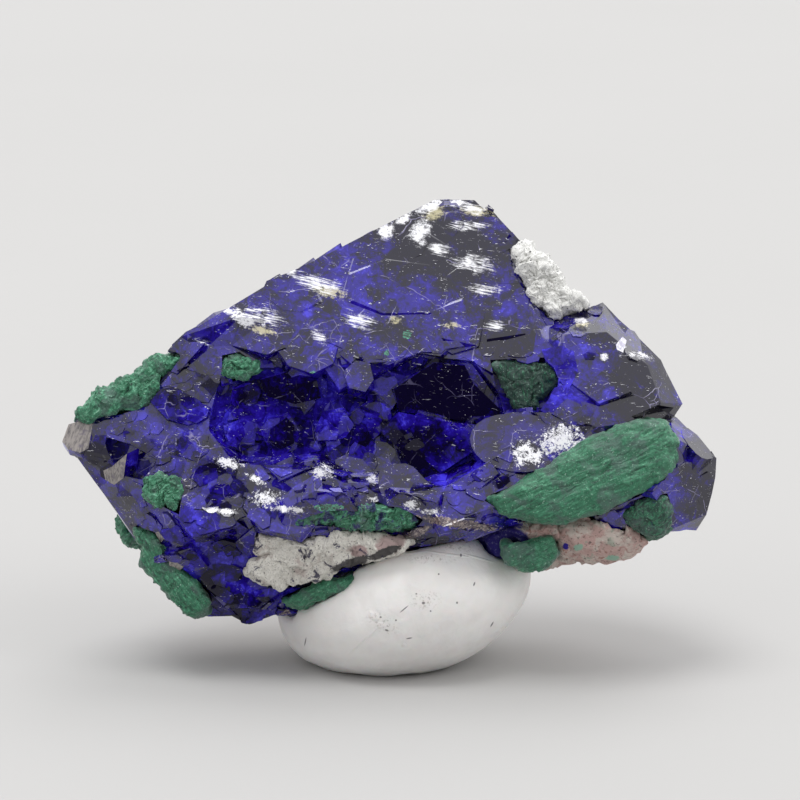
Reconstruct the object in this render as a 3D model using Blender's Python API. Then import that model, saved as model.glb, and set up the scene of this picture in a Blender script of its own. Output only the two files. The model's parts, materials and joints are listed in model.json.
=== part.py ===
"""An azurite specimen: intergrown blue crystals with malachite and pale clay, standing in mounting putty.

Metres, +Z up, the viewer in front at -Y. The origin is the centre of the bounding box, at its base.
The crystals are modelled upright in millimetres, as (across, up, out): out is towards the viewer.
One parent empty then leans them back in the putty.
"""

import math
import random

import bmesh
import bpy
from mathutils import Vector, noise
from mathutils.bvhtree import BVHTree

# Driving dimensions, in millimetres and degrees
MM = 0.001
LEAN_BACK = 14.0
SEAT_HEIGHT = 17.8
GAP = 0.3
SWELL_SHARE = 1.35
MERGE = 0.002
FLAT = 0.5
SEED = 7

# The putty, in the upright frame of the surface it stands on
PUTTY_CENTRE = (0.4, -0.6, 5.6)
PUTTY_RADII = (10.4, 9.4, 6.6)
PUTTY_ROLL = 12.0
PUTTY_FLAT = 8.2

# The front face of the main crystal: how far out it lies, and how much it falls back for each mm up
FACE_LOW_EDGE = -6.0
FACE_OUT = 7.8
FACE_SLOPE = 0.355


def face_out(up):
    """How far out the main front face lies at a height."""
    return FACE_OUT - FACE_SLOPE * (up - FACE_LOW_EDGE)


# Corners of the large crystals. Each is the convex hull of its points.
MAIN_CRYSTAL = [
    (-26.7, 0.0, 1.4), (-25.3, 2.0, 1.6), (-17.4, 8.2, face_out(8.2)), (2.8, 19.4, face_out(19.4)),
    (6.0, 19.4, face_out(19.4)), (9.6, 15.8, 0.0), (12.2, 9.6, 1.6), (13.6, 0.0, 4.6),
    (13.0, -5.5, 6.0), (4.0, -8.0, 5.2), (-8.0, -9.6, 4.6), (-18.0, -11.0, 3.0), (-21.1, -7.9, 2.0),
    (-23.4, -4.5, 2.0), (-24.2, 0.4, 3.6), (12.2, -3.5, 6.8), (6.0, -5.6, 7.6), (-6.0, -5.6, 7.4),
    (-16.5, -6.5, 6.2), (-21.0, -4.4, 4.6), (-22.0, 0.0, -2.6), (-15.0, 6.0, -4.6), (1.0, 15.0, -5.2),
    (6.0, 15.0, -5.2), (9.0, 8.0, -7.2), (9.0, -3.0, -7.6), (-4.0, -6.0, -7.6), (-15.0, -7.0, -5.6),
]
RIGHT_CRYSTAL = [
    (11.0, 9.4, 1.0), (15.2, 10.6, 0.6), (16.2, 11.0, 0.4), (17.4, 9.7, 0.8), (19.0, 8.2, 1.0),
    (20.8, 6.4, 1.2), (22.5, 2.9, 1.6), (21.9, 2.0, 1.6), (19.0, -1.0, 2.0), (12.0, -3.0, 3.0),
    (13.0, 8.4, 3.2), (16.4, 8.6, 2.6), (19.6, 6.0, 3.2), (20.6, 3.0, 4.4), (18.0, 1.4, 5.2),
    (12.0, 0.6, 5.8), (12.0, 6.0, -5.6), (17.0, 6.0, -5.0), (19.0, 2.0, -5.0), (12.0, -2.0, -6.6),
]
CORNER_CRYSTAL = [
    (21.6, 2.3, 1.0), (25.1, -1.4, 3.0), (25.0, -3.2, 1.4), (24.4, -5.9, 0.4), (23.6, -7.2, 1.4),
    (19.2, -7.5, 1.2), (12.0, -6.0, 0.0), (12.0, 1.0, 0.0), (21.4, 0.3, 5.8), (25.0, -3.2, 3.2),
    (24.3, -5.9, 3.0), (21.0, -7.2, 4.4), (20.8, -3.0, 6.4), (13.0, -5.2, 6.2), (13.0, 0.0, 6.0),
    (21.0, 0.0, -4.8), (22.0, -4.0, -4.2), (14.0, -5.0, -5.6), (13.0, 0.0, -5.6),
]
LOWER_CRYSTAL = [
    (-23.0, -4.8, 1.4), (-21.1, -7.9, 0.8), (-19.5, -10.7, 0.4), (-17.1, -13.6, 0.4),
    (-15.3, -14.1, 0.6), (-12.1, -14.6, 1.4), (-7.6, -13.8, 1.4), (-3.5, -10.9, 1.8), (1.0, -8.2, 2.2),
    (6.0, -7.5, 3.0), (-20.0, -6.0, 4.4), (-14.6, -12.4, 3.8), (-8.4, -11.2, 4.8), (-1.0, -7.6, 5.8),
    (4.0, -6.0, 6.6), (-19.0, -6.0, -3.6), (-14.0, -12.0, -3.8), (-6.0, -9.6, -5.4), (3.0, -6.5, -5.4),
]
GREAT_CRYSTALS = (MAIN_CRYSTAL, RIGHT_CRYSTAL, CORNER_CRYSTAL, LOWER_CRYSTAL)

# The crystals' outline as the viewer sees it, as (across, up), clockwise from the left tip
OUTLINE = [
    (-26.8, 0.0), (-25.3, 2.0), (-24.0, 3.2), (-21.5, 4.4), (-19.4, 5.6), (-18.9, 6.5), (-18.1, 7.4),
    (-17.6, 7.6), (-17.4, 8.4), (-15.2, 9.8), (-12.1, 11.8), (-8.0, 13.6), (2.8, 19.3), (4.2, 19.55),
    (6.0, 19.4), (7.0, 18.7), (8.1, 17.4), (9.6, 15.8), (9.0, 15.0), (9.0, 14.0), (9.6, 12.4),
    (10.4, 11.2), (11.8, 10.6), (12.8, 10.0), (14.6, 10.3), (16.2, 11.0), (17.4, 9.7), (18.4, 8.8),
    (19.0, 8.2), (20.8, 6.4), (21.2, 5.5), (22.5, 2.9), (21.9, 1.9), (22.4, 1.6), (23.5, 0.2),
    (25.1, -1.4), (25.0, -2.9), (24.4, -5.9), (24.2, -6.5), (23.6, -7.2), (22.7, -7.1), (21.2, -7.4),
    (19.2, -7.6), (12.0, -8.2), (8.0, -8.7), (4.0, -8.2), (0.0, -8.9), (-3.5, -10.9), (-6.3, -12.7),
    (-7.6, -13.8), (-10.0, -13.9), (-12.1, -14.7), (-13.4, -14.0), (-15.3, -14.1), (-17.1, -13.6),
    (-18.7, -11.8), (-19.5, -10.6), (-20.0, -9.9), (-20.8, -8.5), (-21.1, -7.9), (-23.4, -4.5),
]
OUTLINE_REACH = 30.0

# Broken hollows in the front face, where it steps back to planes that look straight at the viewer
RECESSES = [
    [(-14.2, 4.9, 3.7), (-12.6, 6.0, 3.3), (-6.4, 5.4, 3.5), (-4.6, 2.6, 3.7), (-6.2, -1.0, 3.9),
     (-12.0, -1.4, 4.1), (-15.0, 1.4, 4.0), (-15.4, 6.6, 9.0), (-4.0, 7.0, 9.0), (-4.0, -3.0, 9.0),
     (-15.6, -2.6, 9.0)],
    [(-5.4, 3.0, 3.6), (-1.6, 4.6, 3.4), (1.6, 6.6, 2.9), (5.6, 6.2, 3.0), (7.6, 3.4, 3.6),
     (8.4, 0.0, 4.4), (3.4, -2.8, 4.7), (-3.0, -2.6, 4.5), (-6.4, -1.0, 4.2), (-7.0, 5.0, 9.0),
     (1.0, 8.4, 9.0), (9.0, 7.0, 9.0), (10.0, -1.0, 9.0), (4.0, -4.2, 9.0), (-6.0, -4.0, 9.0)],
    [(7.2, 6.2, 1.6), (12.4, 6.4, 1.4), (12.0, 2.6, 3.0), (8.4, 2.4, 3.2), (7.0, 6.8, 8.0),
     (12.8, 7.0, 8.0), (12.6, 2.0, 8.0), (8.0, 1.8, 8.0)],
    [(18.4, 1.9, 3.4), (20.4, 2.7, 2.6), (22.8, 2.5, 2.2), (22.4, 1.4, 2.4), (19.6, 1.5, 3.4),
     (18.0, 1.9, 8.0), (20.4, 3.0, 8.0), (23.2, 2.7, 8.0), (22.8, 1.2, 8.0), (19.0, 1.2, 8.0)],
    [(-16.2, -11.2, 2.4), (-12.6, -14.2, 1.4), (-13.2, -14.6, 1.4), (-16.6, -11.8, 2.2),
     (-16.0, -10.6, 7.0), (-11.8, -14.2, 7.0), (-13.4, -15.2, 7.0), (-17.0, -11.9, 7.0)],
    [(-23.4, 0.2, 2.9), (-21.4, -0.4, 3.2), (-19.2, -1.6, 3.8), (-20.4, -3.0, 4.0), (-22.2, -2.6, 3.2),
     (-23.6, 0.6, 9.0), (-21.0, 0.2, 9.0), (-18.6, -1.4, 9.0), (-20.2, -3.6, 9.0), (-22.6, -3.2, 9.0)],
]

# Crystals that look straight out of the hollows: (across, up, out, radius, turn, roll), in mm and degrees
HOLLOW_CRYSTALS = [
    (3.3, 3.3, 3.9, 3.3, 6, 20), (2.2, -0.6, 4.9, 3.5, -4, 55), (6.6, 0.4, 4.7, 2.4, 10, 5),
    (-2.2, 1.8, 4.2, 2.3, -8, 30), (-5.2, 1.2, 4.3, 2.0, 5, 12), (-8.4, 3.6, 3.8, 2.4, -5, 48),
    (-11.6, 3.2, 3.9, 2.5, 7, 18), (-9.4, 0.6, 4.3, 2.3, -3, 66), (-12.6, 0.4, 4.4, 1.9, 9, 33),
    (-0.6, 4.2, 3.4, 1.7, 3, 40),
]

# Blades that grow out of the back: (across, up, out, length, width, thickness, tilt, yaw), mm and degrees
BACK_BLADES = [
    (-15.0, 3.4, -4.2, 13.0, 7.0, 4.4, 32, 12), (-9.0, 8.0, -4.4, 14.0, 7.4, 4.6, 24, -10),
    (-2.0, 11.6, -4.6, 13.0, 8.0, 4.6, 38, 8), (4.6, 13.4, -4.2, 11.0, 6.6, 4.2, 66, -14),
    (7.6, 8.0, -6.6, 12.0, 7.0, 4.8, 78, 6), (2.0, 5.6, -7.8, 13.0, 8.2, 4.8, 50, -8),
    (-6.0, 3.0, -7.2, 12.0, 7.6, 4.6, 16, 14), (15.6, 5.4, -4.6, 10.0, 5.8, 4.4, 120, -6),
    (18.8, -1.6, -4.4, 10.0, 6.0, 4.2, 100, 10), (-17.6, -5.4, -3.4, 11.0, 6.6, 4.0, -38, 8),
    (12.0, 0.6, -7.0, 11.0, 7.0, 4.6, 62, 4),
]

# Outlines of the malachite and clay patches, as (across, up), with how far out the rim and crown lie
PATCHES = {
    "malachite_fan": (
        [(6.8, -4.6), (8.8, -3.9), (10.8, -2.6), (13.0, -1.2), (16.8, 0.8), (19.2, 1.6), (20.8, 1.3),
         (21.6, 0.2), (21.4, -1.4), (20.6, -2.9), (18.6, -4.1), (16.0, -5.3), (13.2, -6.1),
         (10.6, -6.2), (8.2, -5.5)],
        (6.6, -0.04, -0.16), 0.9, 2.6),
    "malachite_crest": (
        [(-25.5, 1.9), (-23.9, 3.8), (-22.0, 4.6), (-20.8, 5.4), (-19.0, 6.6), (-17.3, 6.9),
         (-18.6, 5.2), (-19.4, 4.4), (-20.1, 3.0), (-22.4, 2.3)],
        (3.3, 0.03, -0.3), 0.9, 3.2),
    "malachite_pocket": (
        [(7.5, 5.9), (9.6, 6.3), (11.6, 6.0), (12.5, 5.0), (11.4, 3.6), (10.7, 2.6), (9.2, 2.4),
         (8.3, 3.6)],
        (3.3, 0.0, -0.2), 0.5, 2.0),
    "malachite_upper_speck": (
        [(-13.8, 6.5), (-12.8, 6.7), (-11.8, 6.0), (-12.0, 5.2), (-13.1, 5.0), (-13.8, 5.6)],
        (3.7, 0.0, -0.3), 0.35, 1.4),
    "malachite_lower_speck": (
        [(-19.9, -3.2), (-19.2, -2.9), (-17.9, -3.1), (-17.5, -4.2), (-17.6, -5.4), (-18.6, -4.9),
         (-19.8, -4.4)],
        (5.4, 0.1, -0.2), 0.45, 1.6),
    "malachite_ribbon": (
        [(-21.0, -7.0), (-19.5, -7.3), (-19.0, -8.6), (-17.4, -10.3), (-16.4, -11.2), (-15.3, -12.6),
         (-15.4, -13.4), (-16.2, -13.8), (-17.1, -13.4), (-18.7, -11.7), (-19.5, -10.5), (-20.0, -9.6),
         (-20.3, -8.4)],
        (3.6, 0.28, 0.1), 0.6, 2.4),
    "malachite_knob": (
        [(-22.3, -6.1), (-21.6, -6.4), (-20.6, -7.4), (-20.8, -8.3), (-21.7, -8.2), (-22.4, -7.3)],
        (0.2, 0.0, 0.0), 0.8, 2.4),
    "malachite_seam": (
        [(-8.6, -5.1), (-6.0, -5.3), (-3.6, -5.7), (-1.6, -5.0), (0.2, -5.3), (1.5, -6.2), (0.6, -6.9),
         (-1.6, -6.9), (-4.6, -6.5), (-8.2, -6.3)],
        (7.2, 0.02, 0.3), 0.5, 2.0),
    "malachite_keel": (
        [(-9.0, -12.6), (-7.6, -11.9), (-5.8, -11.2), (-3.9, -10.6), (-3.6, -11.1), (-5.2, -12.1),
         (-7.0, -12.8), (-8.6, -13.1)],
        (4.3, 0.02, 0.3), 0.6, 2.2),
    "malachite_foot": (
        [(8.2, -8.2), (9.8, -8.3), (11.9, -7.7), (12.3, -8.9), (11.4, -10.0), (9.8, -10.0),
         (8.4, -9.3)],
        (5.6, 0.0, 0.1), 0.6, 4.0),
    "malachite_cushion": (
        [(18.2, -5.0), (19.6, -4.4), (20.8, -4.4), (21.2, -5.6), (21.0, -7.1), (19.6, -7.5),
         (18.4, -6.8), (17.8, -5.9)],
        (5.8, -0.05, 0.2), 0.6, 2.2),
    "clay_seam": (
        [(-11.0, -7.3), (-10.0, -7.4), (-8.0, -7.8), (-5.6, -7.6), (-4.4, -7.2), (-2.8, -7.5),
         (0.0, -7.7), (0.8, -7.9), (0.0, -8.6), (-1.6, -9.0), (-4.0, -9.6), (-6.0, -10.4),
         (-8.0, -11.2), (-9.2, -11.4), (-10.8, -11.2), (-12.0, -10.4), (-11.4, -9.6), (-10.6, -9.0),
         (-11.2, -8.3)],
        (6.1, 0.05, 0.34), 0.5, 2.2),
    "clay_crest": (
        [(9.0, 15.4), (10.2, 15.6), (11.4, 14.4), (12.4, 13.0), (13.1, 11.7), (14.6, 10.7),
         (13.4, 10.2), (12.0, 9.9), (10.8, 10.9), (10.0, 12.8), (9.3, 14.2)],
        (0.9, 0.0, -0.2), 0.8, 3.6),
    "malachite_back": (
        [(-10.4, 1.8), (-8.8, 3.4), (-5.6, 4.7), (-2.8, 5.2), (-1.6, 4.0), (-3.0, 2.4), (-6.0, 1.2),
         (-9.0, 0.6)],
        (-9.5, -0.24, -0.07), -0.8, -2.6),
}
KNOBS = {True: 0.35, False: 0.18}
NODULAR = ("malachite_crest", "malachite_knob", "clay_crest", "malachite_back")

# Lumps of the pale matrix rock under and behind the crystals: (centre), (radii)
MATRIX_LUMPS = [
    ((15.6, -7.0, 3.0), (4.4, 2.7, 3.2)), ((11.0, -7.2, 0.6), (5.4, 2.9, 4.8)),
    ((4.0, -6.6, -3.4), (7.4, 3.4, 5.8)), ((-4.4, -7.4, -4.6), (7.2, 4.2, 4.8)),
    ((-11.6, -8.4, -4.0), (5.8, 4.6, 3.8)), ((10.6, -4.4, -6.2), (6.4, 3.8, 3.2)),
    ((-1.6, -2.6, -8.2), (8.6, 4.6, 2.6)), ((16.4, -5.6, -2.4), (4.6, 2.6, 4.0)),
]

# Growth plates lying on the faces: spacing and size ranges in mm, lean as a slope
PLATE_SPACING = {1: 5.2, -1: 8.6}
PLATE_RADIUS = (1.5, 3.9)
PLATE_RISE = (0.15, 0.55)
PLATE_STRETCH = (1.0, 1.9)
PLATE_CORNERS = (4, 7)
PLATE_SUNK = 0.9
PLATE_LEAN = 0.087
PLATE_STEEPEST = 0.75

COLOURS = {
    "azurite": ((0.022, 0.012, 0.26), 0.12),
    "malachite": ((0.035, 0.21, 0.10), 0.6),
    "clay": ((0.62, 0.60, 0.54), 0.9),
    "matrix": ((0.40, 0.27, 0.22), 0.9),
    "putty": ((0.80, 0.78, 0.76), 0.55),
}


def clear_scene():
    for thing in list(bpy.data.objects):
        bpy.data.objects.remove(thing)


def point(across, up, out):
    """A place on the upright specimen, in metres: across is X, out is -Y, up is Z."""
    return Vector((across, -out, up)) * MM


def material(kind):
    found = bpy.data.materials.get(kind)
    if found:
        return found
    colour, roughness = COLOURS[kind]
    made = bpy.data.materials.new(kind)
    made.use_nodes = True
    shader = made.node_tree.nodes["Principled BSDF"]
    shader.inputs["Base Color"].default_value = (*colour, 1.0)
    shader.inputs["Roughness"].default_value = roughness
    shader.inputs["Metallic"].default_value = 0.0
    return made


def object_of(name, mesh_work, kind="azurite"):
    """Turns mesh work into a flat-shaded object with its material."""
    bmesh.ops.recalc_face_normals(mesh_work, faces=mesh_work.faces)
    mesh = bpy.data.meshes.new(name)
    mesh_work.to_mesh(mesh)
    mesh_work.free()
    made = bpy.data.objects.new(name, mesh)
    made.data.materials.append(material(kind))
    bpy.context.scene.collection.objects.link(made)
    return made


def hull(corners):
    """The convex hull of some points, as mesh work."""
    work = bmesh.new()
    for corner in corners:
        work.verts.new(corner)
    found = bmesh.ops.convex_hull(work, input=work.verts)
    unused = found["geom_interior"] + found["geom_unused"]
    inside = [e for e in unused if isinstance(e, bmesh.types.BMVert)]
    bmesh.ops.delete(work, geom=list(set(inside)), context="VERTS")
    bmesh.ops.dissolve_limit(work, angle_limit=math.radians(0.5), verts=work.verts, edges=work.edges)
    bmesh.ops.recalc_face_normals(work, faces=work.faces)
    return work


def moved_faces(work, distance):
    """A convex solid with every face moved out by a distance in mm, or in where it is negative."""
    planes = []
    for face in work.faces:
        planes.append((face.calc_center_median() + face.normal * distance * MM, face.normal.copy()))
    work.free()
    block = bmesh.new()
    bmesh.ops.create_cube(block, size=200 * MM)
    for place, normal in planes:
        whole = list(block.verts) + list(block.edges) + list(block.faces)
        cut = bmesh.ops.bisect_plane(block, geom=whole, plane_co=place, plane_no=normal, clear_outer=True)
        rim = [e for e in cut["geom_cut"] if isinstance(e, bmesh.types.BMEdge)]
        if rim:
            bmesh.ops.edgeloop_fill(block, edges=rim)
    return block


def join(base, others, operation="UNION"):
    """Booleans a group of objects onto a base, applies it and removes the group."""
    group = bpy.data.collections.new("operands")
    for other in others:
        group.objects.link(other)
    cut = base.modifiers.new("join", "BOOLEAN")
    cut.operation = operation
    cut.operand_type = "COLLECTION"
    cut.collection = group
    cut.solver = "EXACT"
    cut.use_self = operation == "DIFFERENCE"
    graph = bpy.context.evaluated_depsgraph_get()
    result = bpy.data.meshes.new_from_object(base.evaluated_get(graph))
    base.modifiers.clear()
    base.data = result
    for other in others:
        bpy.data.objects.remove(other)
    bpy.data.collections.remove(group)
    tidy(base)
    return base


def tidy(thing):
    """Triangles only, with the slivers that a cut leaves merged away."""
    work = bmesh.new()
    work.from_mesh(thing.data)
    bmesh.ops.triangulate(work, faces=work.faces)
    bmesh.ops.remove_doubles(work, verts=work.verts, dist=MERGE * MM)
    bmesh.ops.dissolve_degenerate(work, edges=work.edges, dist=MERGE * MM)
    bmesh.ops.triangulate(work, faces=[face for face in work.faces if len(face.verts) > 3])
    work.to_mesh(thing.data)
    work.free()


def keep_largest_body(thing):
    """Removes crumbs that a cut has left beside the main body, and rejoins its flat faces."""
    work = bmesh.new()
    work.from_mesh(thing.data)
    left = set(work.verts)
    bodies = []
    while left:
        body = {left.pop()}
        edge_of_body = list(body)
        while edge_of_body:
            near = {e.other_vert(v) for v in edge_of_body for e in v.link_edges} - body
            body |= near
            edge_of_body = list(near)
        left -= body
        bodies.append(body)
    bodies.sort(key=len, reverse=True)
    crumbs = [v for body in bodies[1:] for v in body]
    bmesh.ops.delete(work, geom=crumbs, context="VERTS")
    bmesh.ops.dissolve_limit(work, angle_limit=math.radians(FLAT), verts=work.verts, edges=work.edges)
    bmesh.ops.triangulate(work, faces=work.faces)
    work.to_mesh(thing.data)
    work.free()


def prism(place, normal, upward, radius, low, high, corners, narrowing, chance, stretch=1.0):
    """An irregular growth plate or crystal end: a narrowing prism that stands on a plane."""
    side = upward.cross(normal).normalized()
    rise = normal.cross(side)
    ring = []
    for i in range(corners):
        angle = 2 * math.pi * (i + chance.uniform(-0.22, 0.22)) / corners
        reach = radius * chance.uniform(0.78, 1.0)
        ring.append(side * math.cos(angle) * reach * stretch + rise * math.sin(angle) * reach)
    base = [place + (step + normal * low) * MM for step in ring]
    top = [place + (step * narrowing + normal * high) * MM for step in ring]
    return hull(base + top)


def turned(turn, roll):
    """A direction turned from the viewer's and rolled about the line of sight, and its upward side."""
    out = point(0, 0, 1).normalized()
    across = point(1, 0, 0).normalized()
    up = point(0, 1, 0).normalized()
    swing = math.radians(turn)
    around = math.radians(roll)
    lean = across * math.cos(around) + up * math.sin(around)
    normal = out * math.cos(swing) + lean * math.sin(swing)
    upward = up * math.cos(around) - across * math.sin(around)
    return normal, upward


def hollow_crystal(entry, grow):
    across, up, out, radius, turn, roll = entry
    chance = random.Random(SEED + round(100 * across + 10 * up))
    normal, upward = turned(turn, roll)
    work = prism(point(across, up, out), normal, upward, radius, -2.4, 0.0, 6, 0.8, chance, 1.15)
    return moved_faces(work, grow) if grow else work


def back_blade(entry, grow):
    """A bladed crystal with a wedge end, lying in the back."""
    across, up, out, length, width, thickness, tilt, yaw = entry
    chance = random.Random(SEED + round(10 * across + up))
    lean, swing = math.radians(tilt), math.radians(yaw)
    along = point(math.cos(lean), math.sin(lean), 0).normalized() * math.cos(swing)
    along.y += math.sin(swing)
    flat = Vector((0, 1, 0)) - along * along.y
    flat.normalize()
    wide = along.cross(flat)
    corners = []
    for end in (-1, 1):
        tip = length / 2 * chance.uniform(0.9, 1.05)
        shoulder = tip * chance.uniform(0.6, 0.75)
        for side in (-1, 1):
            corners.append(along * end * tip + wide * side * width * chance.uniform(0.12, 0.22))
            corners.append(along * end * shoulder + wide * side * width * 0.5)
            for face in (-1, 1):
                step = wide * side * width * chance.uniform(0.3, 0.38) + flat * face * thickness * 0.5
                corners.append(along * end * shoulder * chance.uniform(0.85, 1.0) + step)
    work = hull([point(across, up, out) + corner * MM for corner in corners])
    return moved_faces(work, grow) if grow else work


def plate_layout(surface):
    """Where low plates lie on the front and then the back: a place, a facing and two sizes for each."""
    chance = random.Random(SEED)
    tree = surface_tree(surface)
    layout = []
    for side, spacing in PLATE_SPACING.items():
        up = -13.0
        while up < 19.0:
            across = -26.0
            while across < 25.0:
                step = (chance.uniform(-2.2, 2.2), chance.uniform(-1.8, 1.8))
                start = point(across + step[0], up + step[1], 60 * side)
                hit, normal, _, _ = tree.ray_cast(start, Vector((0, side, 0)))
                radius = chance.uniform(*PLATE_RADIUS)
                rise = chance.uniform(*PLATE_RISE)
                lean = Vector([chance.uniform(-PLATE_LEAN, PLATE_LEAN) for _ in range(3)])
                across += spacing
                if hit is not None and normal.y * side < -PLATE_STEEPEST:
                    layout.append((hit, (normal + lean).normalized(), radius, rise))
            up += spacing * 0.8
    return layout


def growth_plate(number, entry, grow):
    hit, facing, radius, rise = entry
    chance = random.Random(SEED + number)
    corners = chance.randint(*PLATE_CORNERS)
    stretch = chance.uniform(*PLATE_STRETCH)
    upward = Vector((chance.uniform(-0.5, 0.5), 0, 1)).normalized()
    work = prism(hit, facing, upward, radius, -PLATE_SUNK, rise, corners, 0.86, chance, stretch)
    return moved_faces(work, grow) if grow else work


def outline_block(name):
    """The outline, drawn out along the viewer's line of sight."""
    work = bmesh.new()
    front = [work.verts.new(point(across, up, OUTLINE_REACH)) for across, up in OUTLINE]
    back = [work.verts.new(point(across, up, -OUTLINE_REACH)) for across, up in OUTLINE]
    work.faces.new(front)
    work.faces.new(back[::-1])
    for i in range(len(front)):
        j = (i + 1) % len(front)
        work.faces.new((front[j], front[i], back[i], back[j]))
    return object_of(name, work)


def surface_tree(thing):
    work = bmesh.new()
    work.from_mesh(thing.data)
    tree = BVHTree.FromBMesh(work)
    work.free()
    return tree


def great_crystals(name, grow=0.0):
    """The large crystals and the blades of the back, grown into one another."""
    solids = []
    for corners in GREAT_CRYSTALS:
        work = hull([point(*corner) for corner in corners])
        solids.append(moved_faces(work, grow) if grow else work)
    solids += [back_blade(entry, grow) for entry in BACK_BLADES]
    parts = [object_of("crystal", work) for work in solids]
    whole = join(parts[0], parts[1:])
    whole.name = name
    return whole


def azurite(name, layout, grow=0.0):
    """All the blue crystals in one intergrown solid. grow moves every face out, to cut a neighbour."""
    whole = great_crystals(name, grow)
    join(whole, [object_of("plate", growth_plate(i, entry, grow)) for i, entry in enumerate(layout)])
    hollows = [moved_faces(hull([point(*corner) for corner in corners]), -grow) for corners in RECESSES]
    join(whole, [object_of("hollow", work) for work in hollows], "DIFFERENCE")
    join(whole, [object_of("inner", hollow_crystal(entry, grow)) for entry in HOLLOW_CRYSTALS])
    if not grow:
        join(whole, [outline_block("outline")], "INTERSECT")
    return whole


def outward(rim):
    """For each point of a closed rim, the step that moves the edges beside it out by one."""
    area = sum(a.x * b.y - b.x * a.y for a, b in zip(rim, rim[1:] + rim[:1]))
    turn = 1 if area > 0 else -1
    steps = []
    for before, here, after in zip(rim[-1:] + rim[:-1], rim, rim[1:] + rim[:1]):
        first = (here - before).normalized()
        second = (after - here).normalized()
        sides = [Vector((way.y, -way.x)) * turn for way in (first, second)]
        step = (sides[0] + sides[1]) / max(1 + sides[0].dot(sides[1]), 0.5)
        steps.append(step)
    return steps


def patch(name, grow=0.0):
    """A crust with a domed front and a flat back, on an outline, laid along the face that carries it."""
    outline, (out, slope_across, slope_up), crown, depth = PATCHES[name]
    middle = Vector((sum(p[0] for p in outline), sum(p[1] for p in outline))) / len(outline)
    knobs = KNOBS[name in NODULAR]

    def level(place):
        return out + slope_across * (place.x - middle.x) + slope_up * (place.y - middle.y)

    work = bmesh.new()
    edge = []
    for a, b in zip(outline, outline[1:] + outline[:1]):
        start, end = Vector(a), Vector(b)
        edge.append(start)
        if (end - start).length > 1.2:
            edge.append((start + end) / 2)

    facing = 1 if crown > 0 else -1
    steps = outward(edge)

    def ring(share, height, side):
        made = []
        for place, step in zip(edge, steps):
            here = middle + (place - middle) * share
            bump = knobs * noise.noise(Vector((here.x, here.y, height)) * 0.9) if share < 1 else 0
            wide = here + step * grow * share
            lift = height + bump + side * facing * grow
            made.append(work.verts.new(point(wide.x, wide.y, level(here) + lift)))
        return made

    rings = [ring(1.0, -depth, -1), ring(1.0, -0.15, 1), ring(0.93, crown * 0.55, 1)]
    rings += [ring(0.68, crown * 0.92, 1), ring(0.34, crown, 1)]
    for low, high in zip(rings, rings[1:]):
        for i in range(len(edge)):
            j = (i + 1) % len(edge)
            work.faces.new((low[i], low[j], high[j], high[i]))
    for ends, height, side in ((rings[0], -depth, -1), (rings[-1], crown, 1)):
        hub = work.verts.new(point(middle.x, middle.y, level(middle) + height + side * facing * grow))
        for i in range(len(edge)):
            work.faces.new((ends[i], ends[(i + 1) % len(edge)], hub))
    bmesh.ops.triangulate(work, faces=work.faces)
    return object_of(name, work, name.split("_")[0])


def swell(work, distance):
    """Moves the points of a rounded solid out along their normals, so that its faces gain a distance."""
    bmesh.ops.recalc_face_normals(work, faces=work.faces)
    work.normal_update()
    steps = [vert.normal * distance * SWELL_SHARE * MM for vert in work.verts]
    for vert, step in zip(work.verts, steps):
        vert.co += step


def lump(centre, radii, grow, roughness, fineness, kind):
    """A weathered lump: a ball pushed in and out by noise."""
    work = bmesh.new()
    bmesh.ops.create_icosphere(work, subdivisions=fineness, radius=1.0)
    for vert in work.verts:
        away = vert.co.copy()
        swollen = 1 + roughness * (noise.noise(away * 2.1 + Vector(centre)) + noise.noise(away * 4.7))
        size = Vector((radii[0], radii[2], radii[1])) * swollen
        vert.co = point(*centre) + Vector((away.x * size.x, away.y * size.y, away.z * size.z)) * MM
    swell(work, grow)
    return object_of("lump", work, kind)


def matrix_rock(name, grow=0.0):
    """The pale rock that the crystals grew on: lumps run together under and behind them."""
    lumps = [lump(centre, radii, grow, 0.12, 2, "matrix") for centre, radii in MATRIX_LUMPS]
    whole = join(lumps[0], lumps[1:])
    whole.name = name
    return whole


def putty(name):
    """A soft ball squashed between the surface and the stone, with a flat foot."""
    work = bmesh.new()
    bmesh.ops.create_uvsphere(work, u_segments=32, v_segments=18, radius=1.0)
    across, back, high = PUTTY_RADII
    roll = math.radians(PUTTY_ROLL)
    centre = Vector(PUTTY_CENTRE)
    for vert in work.verts:
        away = vert.co.copy()
        swollen = 1 + 0.025 * noise.noise(away * 1.6)
        step = Vector((away.x * across, away.y * back, away.z * high)) * swollen
        rolled_x = step.x * math.cos(roll) - step.z * math.sin(roll) * 0.6
        rolled_z = step.z + step.x * math.sin(roll)
        place = centre + Vector((rolled_x, step.y, rolled_z))
        if place.z < 0:
            reach = Vector((place.x - centre.x, place.y - centre.y))
            if reach.length > PUTTY_FLAT:
                reach *= (PUTTY_FLAT + (reach.length - PUTTY_FLAT) * 0.35) / reach.length
            place = Vector((centre.x + reach.x, centre.y + reach.y, 0))
        vert.co = place * MM
    bmesh.ops.dissolve_limit(work, angle_limit=math.radians(0.6), verts=work.verts, edges=work.edges)
    bmesh.ops.triangulate(work, faces=work.faces)
    return object_of(name, work, "putty")


def leaned(things):
    """Leans the upright pieces back and lifts them to their place above the surface."""
    lean = bpy.data.objects.new("specimen_lean", None)
    bpy.context.scene.collection.objects.link(lean)
    lean.rotation_euler = (math.radians(-LEAN_BACK), 0, 0)
    lean.location = (0, 0, SEAT_HEIGHT * MM)
    bpy.context.view_layer.update()
    for thing in things:
        thing.data.transform(lean.matrix_world)
    return lean


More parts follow.
